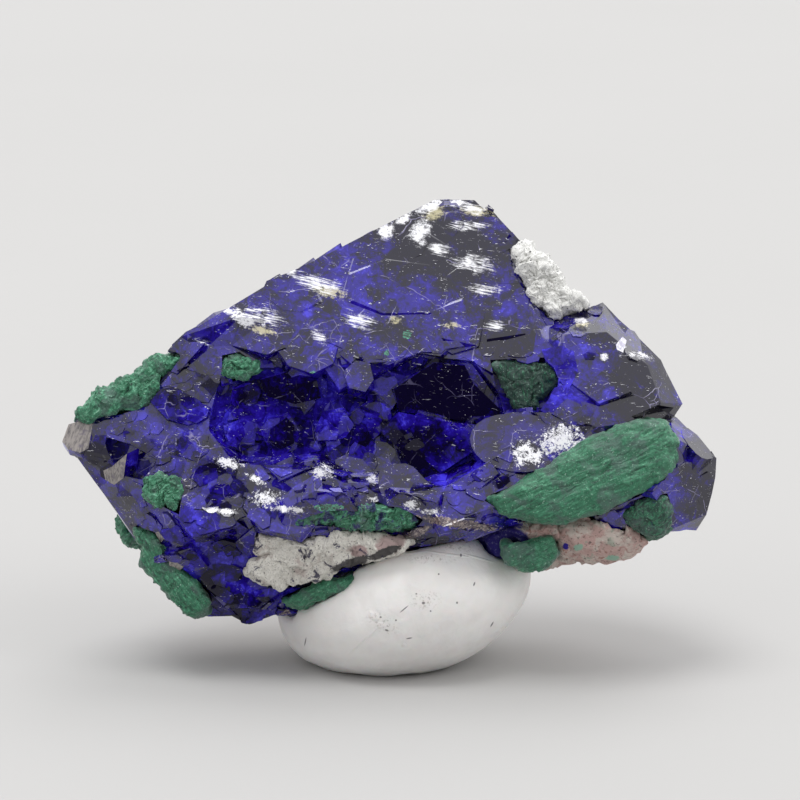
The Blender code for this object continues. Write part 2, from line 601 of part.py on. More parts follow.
def centre_on_origin(things, lean):
    """Moves everything so that the origin is the centre of the bounding box, at its base."""
    corners = [v.co for thing in things for v in thing.data.vertices]
    low = Vector([min(c[i] for c in corners) for i in range(3)])
    high = Vector([max(c[i] for c in corners) for i in range(3)])
    shift = Vector((-(low.x + high.x) / 2, -(low.y + high.y) / 2, -low.z))
    bpy.data.objects.remove(lean)
    holder = bpy.data.objects.new("specimen", None)
    bpy.context.scene.collection.objects.link(holder)
    holder.location = shift
    for thing in things:
        thing.parent = holder


def main():
    clear_scene()
    bare = great_crystals("bare")
    layout = plate_layout(bare)
    bpy.data.objects.remove(bare)
    crystals = azurite("azurite_crystals", layout)
    patches = {name: patch(name) for name in PATCHES}
    for name in PATCHES:
        join(crystals, [patch(name, GAP)], "DIFFERENCE")
    keep_largest_body(crystals)

    rock = matrix_rock("matrix_rock")
    for cutter in [azurite("clearance", layout, GAP)] + [patch(name, GAP) for name in PATCHES]:
        join(rock, [cutter], "DIFFERENCE")
    keep_largest_body(rock)

    upright = [crystals, rock, *patches.values()]
    clearance = [azurite("clearance", layout, GAP), matrix_rock("clearance", GAP)]
    clearance += [patch(name, GAP) for name in PATCHES]
    lean = leaned(upright + clearance)
    foot = putty("putty_support")
    for cutter in clearance:
        join(foot, [cutter], "DIFFERENCE")
    keep_largest_body(foot)
    centre_on_origin(upright + [foot], lean)


main()
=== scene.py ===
"""Looks of an azurite specimen: glossy blue crystals, malachite and pale clay on a ball of putty.

Metres, +Z up, the viewer in front at -Y. Shapes on the stone are given upright in millimetres and leaned
back with it: x is across, -y is out towards the viewer, z is up.
"""

import json
import math
import random

import bmesh
import bpy
from mathutils import Matrix, Vector, noise
from mathutils.bvhtree import BVHTree

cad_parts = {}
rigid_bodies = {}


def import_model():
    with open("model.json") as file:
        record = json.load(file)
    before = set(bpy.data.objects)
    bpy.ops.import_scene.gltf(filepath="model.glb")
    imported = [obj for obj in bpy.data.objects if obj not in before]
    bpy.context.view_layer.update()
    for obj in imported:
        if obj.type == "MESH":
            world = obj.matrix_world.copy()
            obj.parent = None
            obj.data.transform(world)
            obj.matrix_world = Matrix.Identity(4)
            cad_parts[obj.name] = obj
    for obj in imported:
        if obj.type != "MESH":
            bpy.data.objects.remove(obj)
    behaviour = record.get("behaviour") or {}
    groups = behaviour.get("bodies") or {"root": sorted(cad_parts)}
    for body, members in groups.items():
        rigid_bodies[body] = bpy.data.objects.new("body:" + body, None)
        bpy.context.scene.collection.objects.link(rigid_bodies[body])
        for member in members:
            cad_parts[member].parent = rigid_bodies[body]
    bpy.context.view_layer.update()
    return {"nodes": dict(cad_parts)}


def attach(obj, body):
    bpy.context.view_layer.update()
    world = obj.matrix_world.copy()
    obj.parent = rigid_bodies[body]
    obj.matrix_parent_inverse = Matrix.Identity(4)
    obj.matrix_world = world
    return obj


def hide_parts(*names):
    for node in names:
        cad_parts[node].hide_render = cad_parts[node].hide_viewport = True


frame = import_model()

# The stone's own upright frame, in millimetres, inside the world in metres
MM = 0.001
LEAN_BACK = math.radians(14.0)
STONE_ORIGIN = (0.8, -1.065, 17.8)
STAND = (
    Matrix.Translation(Vector(STONE_ORIGIN) * MM)
    @ Matrix.Rotation(-LEAN_BACK, 4, "X")
    @ Matrix.Scale(MM, 4)
)
UPRIGHT = STAND.inverted()

# The photograph's frame: 800 pixels wide, 0.08 mm for each at the stone
PIXEL = 0.08
MIDDLE_X = 400
MIDDLE_Y = 440
VIEW_UP = 3.2
VIEW_WIDTH = 64.0
VIEW_DISTANCE = 350.0
SENSOR = 36.0

SEED = 11
WELD = 1e-4
ENDLESS = 1e6


def from_pixel(x, y):
    """Where a point of the photograph lies on the stone, as (across, up) in mm."""
    return (x - MIDDLE_X) * PIXEL, (MIDDLE_Y - y) * PIXEL


def direction(turn, rise):
    """The way out to the viewer, turned to the right and raised by angles in radians."""
    return Vector((math.sin(turn) * math.cos(rise), -math.cos(turn) * math.cos(rise), math.sin(rise)))


# Mesh work


def upright_mesh(node):
    """A closed copy of a CAD node as bmesh work, upright and in millimetres."""
    work = bmesh.new()
    source = frame["nodes"][node].data
    seen = {}
    for face in source.polygons:
        corners = []
        for index in face.vertices:
            place = UPRIGHT @ source.vertices[index].co
            key = tuple(round(c, 4) for c in place)
            if key not in seen:
                seen[key] = work.verts.new(place)
            corners.append(seen[key])
        if len(set(corners)) == 3:
            work.faces.new(corners)
    bmesh.ops.remove_doubles(work, verts=work.verts, dist=WELD)
    bmesh.ops.recalc_face_normals(work, faces=work.faces)
    return work


def mesh_of(name, work, materials=()):
    """A mesh made of bmesh work, which is freed."""
    mesh = bpy.data.meshes.new(name)
    work.to_mesh(mesh)
    work.free()
    for material in materials:
        mesh.materials.append(material)
    return mesh


def in_scene(name, data):
    made = bpy.data.objects.new(name, data)
    bpy.context.scene.collection.objects.link(made)
    return made


def piece_of(name, work, materials, smooth):
    """Stands upright mesh work in its place as a piece of the scene."""
    mesh = mesh_of(name, work, materials)
    mesh.transform(STAND)
    if smooth:
        mesh.shade_smooth()
    else:
        mesh.shade_flat()
    return in_scene(name, mesh)


def through_modifiers(work, add_modifiers, materials=()):
    """Mesh work as it comes out of the modifiers that a function adds."""
    thing = in_scene("stand_in", mesh_of("stand_in", work, materials))
    add_modifiers(thing)
    graph = bpy.context.evaluated_depsgraph_get()
    result = bpy.data.meshes.new_from_object(thing.evaluated_get(graph))
    bpy.data.objects.remove(thing)
    changed = bmesh.new()
    changed.from_mesh(result)
    changed.normal_update()
    return changed


def close_slab(work, low, high, top, bottom, side):
    """Closes a slab between two outlines. Top, bottom and side are numbers of materials."""
    work.faces.new(high).material_index = top
    work.faces.new(low[::-1]).material_index = bottom
    for i in range(len(high)):
        j = (i + 1) % len(high)
        work.faces.new((low[i], low[j], high[j], high[i])).material_index = side
    bmesh.ops.recalc_face_normals(work, faces=work.faces)


# Materials


class Paint:
    """Builds one procedural material, node by node."""

    def __init__(self, name):
        self.material = bpy.data.materials.new(name)
        self.material.use_nodes = True
        self.tree = self.material.node_tree
        self.shader = self.tree.nodes["Principled BSDF"]
        self.upright = self.upright_place()

    def node(self, kind, inputs=None, **settings):
        made = self.tree.nodes.new(kind)
        for key, value in settings.items():
            setattr(made, key, value)
        for key, value in (inputs or {}).items():
            self.feed(made.inputs[key], value)
        return made

    def feed(self, socket, value):
        if isinstance(value, bpy.types.NodeSocket):
            self.tree.links.new(value, socket)
        else:
            socket.default_value = value

    def set(self, **values):
        """Sets the shader's own sockets, named with underscores for spaces."""
        for key, value in values.items():
            self.feed(self.shader.inputs[key.replace("_", " ")], value)

    def upright_place(self):
        """The upright place in millimetres."""
        where = self.node("ShaderNodeTexCoord").outputs["Object"]
        inputs = {
            "Vector": where,
            "Location": Vector(STONE_ORIGIN) * MM,
            "Rotation": (-LEAN_BACK, 0, 0),
            "Scale": (MM, MM, MM),
        }
        return self.node("ShaderNodeMapping", inputs, vector_type="TEXTURE").outputs[0]

    def math(self, operation, first, second):
        return self.node("ShaderNodeMath", {0: first, 1: second}, operation=operation).outputs[0]

    def times(self, first, second):
        return self.math("MULTIPLY", first, second)

    def plus(self, first, second):
        return self.math("ADD", first, second)

    def most(self, first, second):
        return self.math("MAXIMUM", first, second)

    def noise(self, scale, detail=3.0, rough=0.5, twist=0.0, place=None):
        inputs = {"Vector": place or self.upright, "Scale": scale, "Detail": detail,
                  "Roughness": rough, "Distortion": twist}
        return self.node("ShaderNodeTexNoise", inputs).outputs["Fac"]

    def cells(self, scale, feature="F1", output="Distance", place=None):
        inputs = {"Vector": place or self.upright, "Scale": scale}
        return self.node("ShaderNodeTexVoronoi", inputs, feature=feature).outputs[output]

    def dots(self, scale, rim, core, low, high, channel=0):
        """Dots of a size from rim to core, in the cells whose own shade is over low to high."""
        dot = self.step(self.cells(scale), rim, core)
        shade = self.cells(scale, "F1", "Color")
        shade = self.node("ShaderNodeSeparateColor", {0: shade}).outputs[channel]
        return self.times(dot, self.step(shade, low, high))

    def step(self, value, low, high):
        """0 below low, 1 above high, smooth between. Low may be the larger."""
        inputs = {"Value": value, "From Min": low, "From Max": high}
        made = self.node("ShaderNodeMapRange", inputs, interpolation_type="SMOOTHSTEP")
        return made.outputs["Result"]

    def blend(self, share, first, second):
        made = self.node("ShaderNodeMix", data_type="RGBA")
        self.feed(made.inputs["Factor"], share)
        self.feed(made.inputs[6], first)
        self.feed(made.inputs[7], second)
        return made.outputs[2]

    def coat(self, below, top, value, low, high, amount=1.0):
        """Lays a colour over another where a value runs from low to high."""
        share = self.step(value, low, high)
        if amount < 1:
            share = self.times(share, amount)
        return self.blend(share, below, top)

    def slanted(self, angle, along, aside):
        """The upright place scaled along and across a line that runs down to the right by an angle."""
        turned = {"Vector": self.upright, "Rotation": (0, -math.radians(angle), 0)}
        place = self.node("ShaderNodeMapping", turned, vector_type="POINT").outputs[0]
        scaled = {"Vector": place, "Scale": (along, aside, aside)}
        return self.node("ShaderNodeMapping", scaled, vector_type="POINT").outputs[0]

    def zone(self, x, y, half_wide, half_high, angle, soft=0.5):
        """1 inside an ellipse of the front view given in pixels, falling to 0 at its rim.

        A positive angle turns it down to the right."""
        across, up = from_pixel(x, y)
        inputs = {
            "Vector": self.upright,
            "Location": (across, 0, up),
            "Rotation": (0, math.radians(angle), 0),
            "Scale": (half_wide * PIXEL, ENDLESS, half_high * PIXEL),
        }
        place = self.node("ShaderNodeMapping", inputs, vector_type="TEXTURE").outputs[0]
        reach = self.node("ShaderNodeVectorMath", {0: place}, operation="LENGTH").outputs["Value"]
        return self.step(reach, 1.0, 1.0 - soft)

    def zones(self, entries, soft=0.5):
        whole = self.zone(*entries[0], soft)
        for entry in entries[1:]:
            whole = self.most(whole, self.zone(*entry, soft))
        return whole

    def bump(self, height, strength, distance, below=None):
        inputs = {"Height": height, "Strength": strength, "Distance": distance * MM}
        if below:
            inputs["Normal"] = below
        return self.node("ShaderNodeBump", inputs).outputs[0]

    def warped(self, scale, reach):
        """The upright place pushed about by a soft swirl, for lines that bend."""
        swirl = {"Vector": self.upright, "Scale": scale, "Detail": 2.0}
        swirl = self.node("ShaderNodeTexNoise", swirl).outputs["Color"]
        inputs = {0: swirl, 1: (reach, reach, reach), 2: self.upright}
        return self.node("ShaderNodeVectorMath", inputs, operation="MULTIPLY_ADD").outputs[0]

    def shades(self, value, entries):
        """Adds an amount to a value inside each ellipse of the front view."""
        for entry in entries:
            value = self.plus(value, self.times(self.zone(*entry[:5]), entry[5]))
        return value

    def tilted(self, cell, amount):
        """The surface direction, turned a little at random for each cell."""
        facing = self.node("ShaderNodeNewGeometry").outputs["Normal"]
        lean = self.node("ShaderNodeVectorMath", {0: cell, 1: (0.5, 0.5, 0.5)}, operation="SUBTRACT")
        inputs = {0: lean.outputs[0], 1: (amount, amount, amount), 2: facing}
        leant = self.node("ShaderNodeVectorMath", inputs, operation="MULTIPLY_ADD").outputs[0]
        return self.node("ShaderNodeVectorMath", {0: leant}, operation="NORMALIZE").outputs[0]


def rgb(red, green, blue):
    return (red, green, blue, 1.0)


# Azurite

BODY_BLACK = rgb(0.0024, 0.0010, 0.016)
BODY_DEEP = rgb(0.004, 0.0005, 0.085)
BODY_BLUE = rgb(0.014, 0.004, 0.27)
BODY_GLOW = rgb(0.05, 0.035, 0.66)
# White of the painted glints, sparkle and flashes
GLINT_WHITE = rgb(0.95, 0.95, 1.0)
# Gold of the painted gold glints
PAINTED_GLINT_GOLD = rgb(0.72, 0.66, 0.40)
HAIRLINE = rgb(0.36, 0.33, 0.58)
FACE_GREY = rgb(0.022, 0.018, 0.036)

# Where the colour inside runs lighter or darker: (x, y, half wide, half high, angle, amount)
SHADES = [
    (452, 240, 92, 62, -10, -0.10), (231, 343, 20, 16, 0, 0.10), (306, 311, 12, 12, 0, 0.07),
    (365, 312, 14, 20, 0, 0.06), (424, 281, 16, 9, 0, 0.09), (507, 308, 14, 10, 0, 0.09),
    (642, 384, 46, 50, 0, -0.12), (574, 346, 28, 14, 20, 0.09), (565, 392, 22, 20, -20, 0.10),
    (611, 393, 14, 9, 0, 0.14), (660, 412, 24, 9, 0, -0.16), (696, 485, 28, 56, 0, -0.10),
    (448, 394, 58, 36, 0, -0.15), (425, 445, 46, 28, 0, -0.10), (460, 472, 28, 24, 0, 0.07),
    (100, 455, 16, 16, 0, -0.14), (220, 598, 40, 20, 35, -0.14), (215, 540, 44, 26, 30, 0.05),
    (150, 400, 70, 60, 20, 0.03), (300, 380, 60, 22, 0, 0.03),
]
# Painted reflections of broken planes just under the upper face, as bright strokes: (x, y, half wide, half
# high, angle)
PAINTED_FLARES = [
    (262, 318, 56, 22, 14), (240, 316, 30, 18, 30), (318, 284, 58, 23, 18), (290, 272, 26, 10, 30),
    (360, 321, 36, 18, 12), (474, 208, 44, 12, 6), (466, 226, 52, 12, 2), (474, 264, 50, 24, 9),
    (484, 290, 38, 14, 6), (320, 336, 24, 14, 34), (638, 356, 34, 9, 12), (494, 326, 26, 12, 4),
    (300, 262, 18, 9, -30), (440, 250, 30, 14, 10), (205, 342, 20, 8, 14),
]
# Painted bright blotches of the same reflections
PAINTED_BLOTCHES = [
    (386, 231, 24, 20, -30), (404, 218, 24, 14, -28), (420, 232, 26, 36, 15), (430, 206, 44, 16, -24),
    (454, 203, 30, 9, -4), (580, 321, 16, 10, 10), (620, 348, 10, 14, 30), (602, 358, 11, 9, 0),
    (246, 322, 32, 16, 20), (228, 310, 18, 10, 20),
]
# Painted gold glints
PAINTED_GOLD_GLINTS = [
    (396, 321, 18, 10, 8), (450, 326, 18, 9, 0), (434, 210, 32, 22, -26), (478, 210, 42, 14, 6),
    (330, 292, 44, 14, 16), (582, 325, 18, 8, 4), (262, 330, 36, 12, 16),
]
# Etched faces with painted white sparkle
PAINTED_SPARKLES = [
    (232, 462, 34, 15, 8), (270, 496, 42, 20, -12), (324, 470, 28, 18, 10), (556, 440, 62, 36, -14),
    (378, 498, 26, 14, 12), (412, 503, 20, 14, 10), (430, 509, 26, 10, 0), (524, 452, 40, 30, 10),
    (224, 509, 52, 7, 3), (372, 478, 18, 14, 30), (290, 507, 50, 9, 3), (258, 478, 26, 10, 30),
]
# Thin layers of clay and rock that come out between the crystals
LAYERS = [(458, 521, 74, 8, 9), (412, 533, 34, 8, -28), (300, 608, 34, 6, -12), (196, 600, 18, 8, 30)]
# Specks of malachite in the lower and in the upper part
LOW_SPECKS = [
    (389, 354, 8, 6, 0), (313, 377, 10, 9, -20), (312, 452, 14, 7, 20), (270, 566, 8, 6, 0),
    (330, 505, 24, 6, 0),
]
HIGH_SPECKS = [(407, 335, 9, 7, 0)]
# A painted highlight: the thin bright line down the left bevel
PAINTED_EDGE_HIGHLIGHTS = [(104, 494, 60, 1.6, 53)]
# Slant of the painted glint dashes
PAINTED_DASH_ANGLE = 6
# Slant of the painted glint strokes
GLINT_STROKE_ANGLE = 13
SPECK_DARK = rgb(0.004, 0.022, 0.018)
SPECK_LIGHT = rgb(0.10, 0.42, 0.28)
LAYER_DARK = rgb(0.05, 0.03, 0.05)
LAYER_LIGHT = rgb(0.36, 0.29, 0.27)
# Colours of the painted reflection on the pale faces
PAINTED_REFLECTION_PALE = rgb(0.30, 0.27, 0.255)
PAINTED_REFLECTION_STRIPE = rgb(0.09, 0.08, 0.085)
PAINTED_REFLECTION_CLOUD = rgb(0.12, 0.10, 0.14)
# Rim colour of the painted white flash
PAINTED_FLASH_EDGE = rgb(0.55, 0.53, 0.68)
RIM_DARK = rgb(0.004, 0.001, 0.06)
RIM_BLUE = rgb(0.04, 0.03, 0.22)
RIM_CHIP = rgb(0.5, 0.48, 0.62)
# Index of refraction: plain faces, then deep ones with less of a veil
INDEX = 1.75
INDEX_DEEP = 1.44
INDEX_DEEP_GLOW = 1.38
INDEX_DEEP_BLACK = 1.37


def azurite_light(paint, brightness):
    """How far the colour at each place is from black towards glowing blue."""
    bent = paint.warped(0.5, 1.6)
    big = paint.noise(0.30, 5.0, 0.6, 0.5)
    middle = paint.noise(1.05, 5.0, 0.68, 0.5, bent)
    fine = paint.noise(4.2, 3.0, 0.6)
    cell = paint.cells(0.55, "F1", "Color", bent)
    shade = paint.node("ShaderNodeSeparateColor", {0: cell}).outputs[0]
    light = 0.0
    for part, share in ((big, 0.50), (middle, 0.50), (fine, 0.18), (shade, 0.12)):
        light = paint.plus(light, paint.times(part, share))
    light = paint.plus(light, brightness)
    return paint.shades(light, SHADES), big, middle, fine, bent


def azurite_lines(paint, big, bent):
    """Healed cracks that bend, and short dashes of painted glint on the tiny steps."""
    broken = paint.step(paint.noise(0.6, 2.0), 0.48, 0.62)
    curved = paint.warped(0.8, 0.6)
    crack = paint.step(paint.cells(0.24, "DISTANCE_TO_EDGE", place=curved), 0.008, 0.003)
    small = paint.step(paint.cells(0.62, "DISTANCE_TO_EDGE", place=curved), 0.014, 0.005)
    small = paint.times(small, paint.step(big, 0.55, 0.64))
    line = paint.times(paint.most(crack, small), broken)
    level = paint.noise(1.0, 2.0, 0.6, 1.4, paint.slanted(PAINTED_DASH_ANGLE, 1.6, 7.0))
    some = paint.step(paint.noise(0.9, 2.0, 0.5, 0.0, bent), 0.40, 0.54)
    painted_dash = paint.times(paint.step(level, 0.665, 0.72), some)
    return paint.times(line, 0.50), painted_dash


def lit(paint, entries, amount, texture, middle, low, high):
    """Where a texture breaks through inside the ellipses of a list, ragged by a second one."""
    inside = paint.times(paint.zones(entries, 0.95), amount)
    return paint.step(paint.plus(paint.plus(inside, texture), paint.times(middle, 0.60)), low, high)


def grain_of(paint):
    return paint.noise(3.6, 5.0, 0.78, 0.4)


def upper_specks_and_glints(paint, colour, middle, front):
    """Painted gold glints laid into the colour, and the painted bright strokes and blotches of reflection
    on the upper face.
    """
    glint_stroke = paint.noise(1.0, 4.0, 0.66, 0.8, paint.slanted(GLINT_STROKE_ANGLE, 0.50, 7.5))
    mix = paint.times(grain_of(paint), 0.60)
    mix = paint.plus(paint.times(glint_stroke, 0.40), mix)
    painted_gold = paint.times(lit(paint, PAINTED_GOLD_GLINTS, 0.46, mix, middle, 1.10, 1.26), front)
    # Painted gold glints laid into the colour
    colour = paint.blend(paint.times(painted_gold, 0.75), colour, PAINTED_GLINT_GOLD)
    colour = green_specks(paint, colour, HIGH_SPECKS, mix, middle, front)
    painted_flare = lit(paint, PAINTED_FLARES, 0.50, glint_stroke, middle, 1.15, 1.38)
    painted_blotch = lit(paint, PAINTED_BLOTCHES, 0.60, mix, middle, 1.18, 1.40)
    return colour, paint.times(paint.most(painted_flare, painted_blotch), front)


def green_specks(paint, colour, entries, grain, middle, front):
    speck = paint.times(lit(paint, entries, 0.60, grain, middle, 1.05, 1.12), front)
    green = paint.coat(SPECK_DARK, SPECK_LIGHT, grain, 0.40, 0.64)
    return paint.blend(speck, colour, green)


def lower_layers_and_glints(paint, colour, middle, front):
    """Layers of clay and specks of green laid into the colour, and the painted sparkle of the etched faces
    and the painted highlight down the left bevel.
    """
    grain = grain_of(paint)
    layer = paint.times(lit(paint, LAYERS, 0.60, grain, middle, 1.03, 1.14), front)
    tan = paint.coat(LAYER_DARK, LAYER_LIGHT, grain, 0.44, 0.62)
    colour = paint.blend(layer, colour, tan)
    colour = green_specks(paint, colour, LOW_SPECKS, grain, middle, front)
    # Painted sparkle and painted edge highlight
    painted_sparkle = lit(paint, PAINTED_SPARKLES, 0.52, grain, middle, 1.19, 1.30)
    painted_edge = paint.times(paint.zones(PAINTED_EDGE_HIGHLIGHTS), 0.8)
    return colour, paint.times(paint.most(painted_sparkle, painted_edge), front)


def towards_viewer(paint):
    """1 on the faces that look out to the front, 0 on the others."""
    facing = paint.node("ShaderNodeNewGeometry").outputs["Normal"]
    facing = paint.node("ShaderNodeSeparateXYZ", {0: facing}).outputs["Y"]
    return paint.step(facing, 0.05, -0.15)


def azurite_paint(name, brightness, tilt, index=INDEX, grey=0.0, marks_and_glints=None, lines=1.0):
    paint = Paint(name)
    light, big, middle, fine, bent = azurite_light(paint, brightness)
    colour = paint.coat(BODY_BLACK, BODY_DEEP, light, 0.56, 0.66)
    colour = paint.coat(colour, BODY_BLUE, light, 0.63, 0.74)
    colour = paint.coat(colour, BODY_GLOW, light, 0.74, 0.86)
    if grey:
        colour = paint.blend(grey, colour, FACE_GREY)
    line, painted_dash = azurite_lines(paint, big, bent)
    line = paint.times(line, lines)
    colour = paint.blend(line, colour, HAIRLINE)
    # White specks, part dust and part painted sparkle, join the painted glint dashes and the painted
    # strokes, blotches and sparkle of each face, all painted white into the colour
    dust_and_sparkle = paint.times(paint.dots(2.4, 0.10, 0.055, 0.66, 0.70, 1), 0.6)
    dust_and_painted_glints = paint.most(paint.times(painted_dash, 0.75 * lines), dust_and_sparkle)
    if marks_and_glints:
        colour, painted_glint = marks_and_glints(paint, colour, middle, towards_viewer(paint))
        dust_and_painted_glints = paint.most(painted_glint, dust_and_painted_glints)
    colour = paint.blend(dust_and_painted_glints, colour, GLINT_WHITE)
    rough = paint.plus(paint.times(dust_and_painted_glints, 0.3), paint.times(middle, 0.12))
    facet = paint.tilted(paint.cells(0.62, "F1", "Color", bent), tilt)
    pits = paint.bump(fine, 0.12, 0.03, facet)
    relief = paint.bump(paint.most(dust_and_painted_glints, line), 0.35, 0.05, pits)
    paint.set(Base_Color=colour, Roughness=rough, Normal=relief, IOR=index)
    return paint.material


def painted_reflection_paint():
    """Striped faces with a painted reflection of something pale."""
    paint = Paint("azurite_painted_reflection")
    stripes = paint.noise(1.0, 3.0, 0.6, 0.2, paint.slanted(-75, 0.4, 6.0))
    cloud = paint.noise(1.4, 4.0, 0.6)
    colour = paint.coat(PAINTED_REFLECTION_STRIPE, PAINTED_REFLECTION_PALE, stripes, 0.30, 0.62)
    colour = paint.coat(colour, PAINTED_REFLECTION_CLOUD, cloud, 0.54, 0.70)
    paint.set(Base_Color=colour, Roughness=0.12, Normal=paint.bump(stripes, 0.3, 0.03), IOR=INDEX)
    return paint.material


def painted_flash_paint():
    """Small faces painted white for the light that they throw straight back: a painted highlight."""
    paint = Paint("azurite_painted_flash")
    grain = paint.noise(4.0, 4.0, 0.7)
    colour = paint.coat(PAINTED_FLASH_EDGE, GLINT_WHITE, grain, 0.40, 0.60)
    paint.set(Base_Color=colour, Roughness=0.25, Normal=paint.bump(grain, 0.3, 0.03))
    return paint.material


def chipped_paint():
    """The broken rims of the plates: a little paler and duller."""
    paint = Paint("azurite_rim")
    fine = paint.noise(2.4, 4.0, 0.7)
    colour = paint.coat(RIM_DARK, RIM_BLUE, fine, 0.35, 0.65)
    colour = paint.coat(colour, RIM_CHIP, fine, 0.64, 0.74)
    paint.set(Base_Color=colour, Roughness=0.3, Normal=paint.bump(fine, 0.4, 0.06), IOR=INDEX)
    return paint.material


# Materials of the stone, by their place in its list
BODY, GLOW, DARK, RIM, DEEP, DEEP_GLOW, DEEP_BLACK, GREY, MIRROR_PAINTED, FLASH_PAINTED, UPPER = range(11)
DEEPER = {BODY: DEEP, GLOW: DEEP_GLOW, DARK: DEEP_BLACK}

# Growth plates by part of the front: (spacing, shorter radius, stretch, lie, lift, tilt), mm and degrees
PLATES = {
    "upper": (4.2, (1.0, 2.4), (1.6, 2.8), 20, (0.008, 0.025), 0.2),
    "middle": (1.15, (0.4, 1.1), (1.0, 1.5), 10, (0.02, 0.13), 2.5),
    "hollow": (1.7, (0.6, 1.6), (1.0, 1.4), 60, (0.04, 0.30), 5.0),
    "lower": (1.15, (0.4, 1.1), (1.1, 2.0), -12, (0.03, 0.20), 5.0),
    "clean": (3.0, (0.5, 1.2), (1.2, 2.4), 70, (0.008, 0.02), 0.3),
    "other": (1.9, (0.6, 1.7), (1.0, 2.0), 30, (0.04, 0.26), 5.0),
}
# The stone is felt for plates from each side: step, shift of each place, half width and distance in mm
PLATE_STEP = 1.1
SCAN_SHIFT = 0.5
SCAN_HALF = 28.0
RAY_START = 60.0
# How squarely a face must look to the side that it is felt from
SQUARE_ON = 0.62
# A plate's outline: the spread of its lie in degrees, its corners and how uneven they are
LIE_SPREAD = 24
PLATE_CORNERS = (6, 9)
CORNER_SHIFT = 0.25
CORNER_REACH = (0.84, 1.0)
# How deep a plate goes into the stone, and how much smaller its face is than its foot
PLATE_SUNK = 0.5
PLATE_FACE = (0.90, 0.98)
# A plate's corner is drawn in until the stone lies level under it: felt from this high, within this slack,
# at least so squarely, the share kept at each try, and the number of tries
PLATE_FEEL = 1.0
PLATE_SLACK = 0.3
PLATE_LEVEL = 0.85
DRAW_IN = 0.75
DRAW_TRIES = 8
SIDES = ((0, 1, 0), (0, -1, 0), (1, 0, 0), (-1, 0, 0), (0, 0, -1), (0, 0, 1))
# Parts of the front in mm: the hollow's left, right, bottom and top, what lies below, the broad face above
HOLLOW = (-14.5, 9.0, -2.6, 6.4)
LOWER_BELOW = -2.4
BROAD_ABOVE = 7.2
BROAD_LEFT_OF = 12.0
# Faces that stay clean: (x, y, half wide, half high)
CLEAN = [(82, 436, 26, 26), (106, 480, 28, 34), (130, 520, 20, 30), (630, 372, 68, 66), (694, 480, 34, 62)]
# Faces with no veil on them: (x, y, half wide, half high, angle)
DEEP_PLACES = [
    (290, 408, 78, 50, 0), (440, 418, 70, 60, 0), (218, 548, 48, 30, 35), (222, 598, 40, 22, 30),
    (570, 385, 30, 22, -10), (290, 590, 60, 20, 0), (98, 460, 28, 15, 35),
]
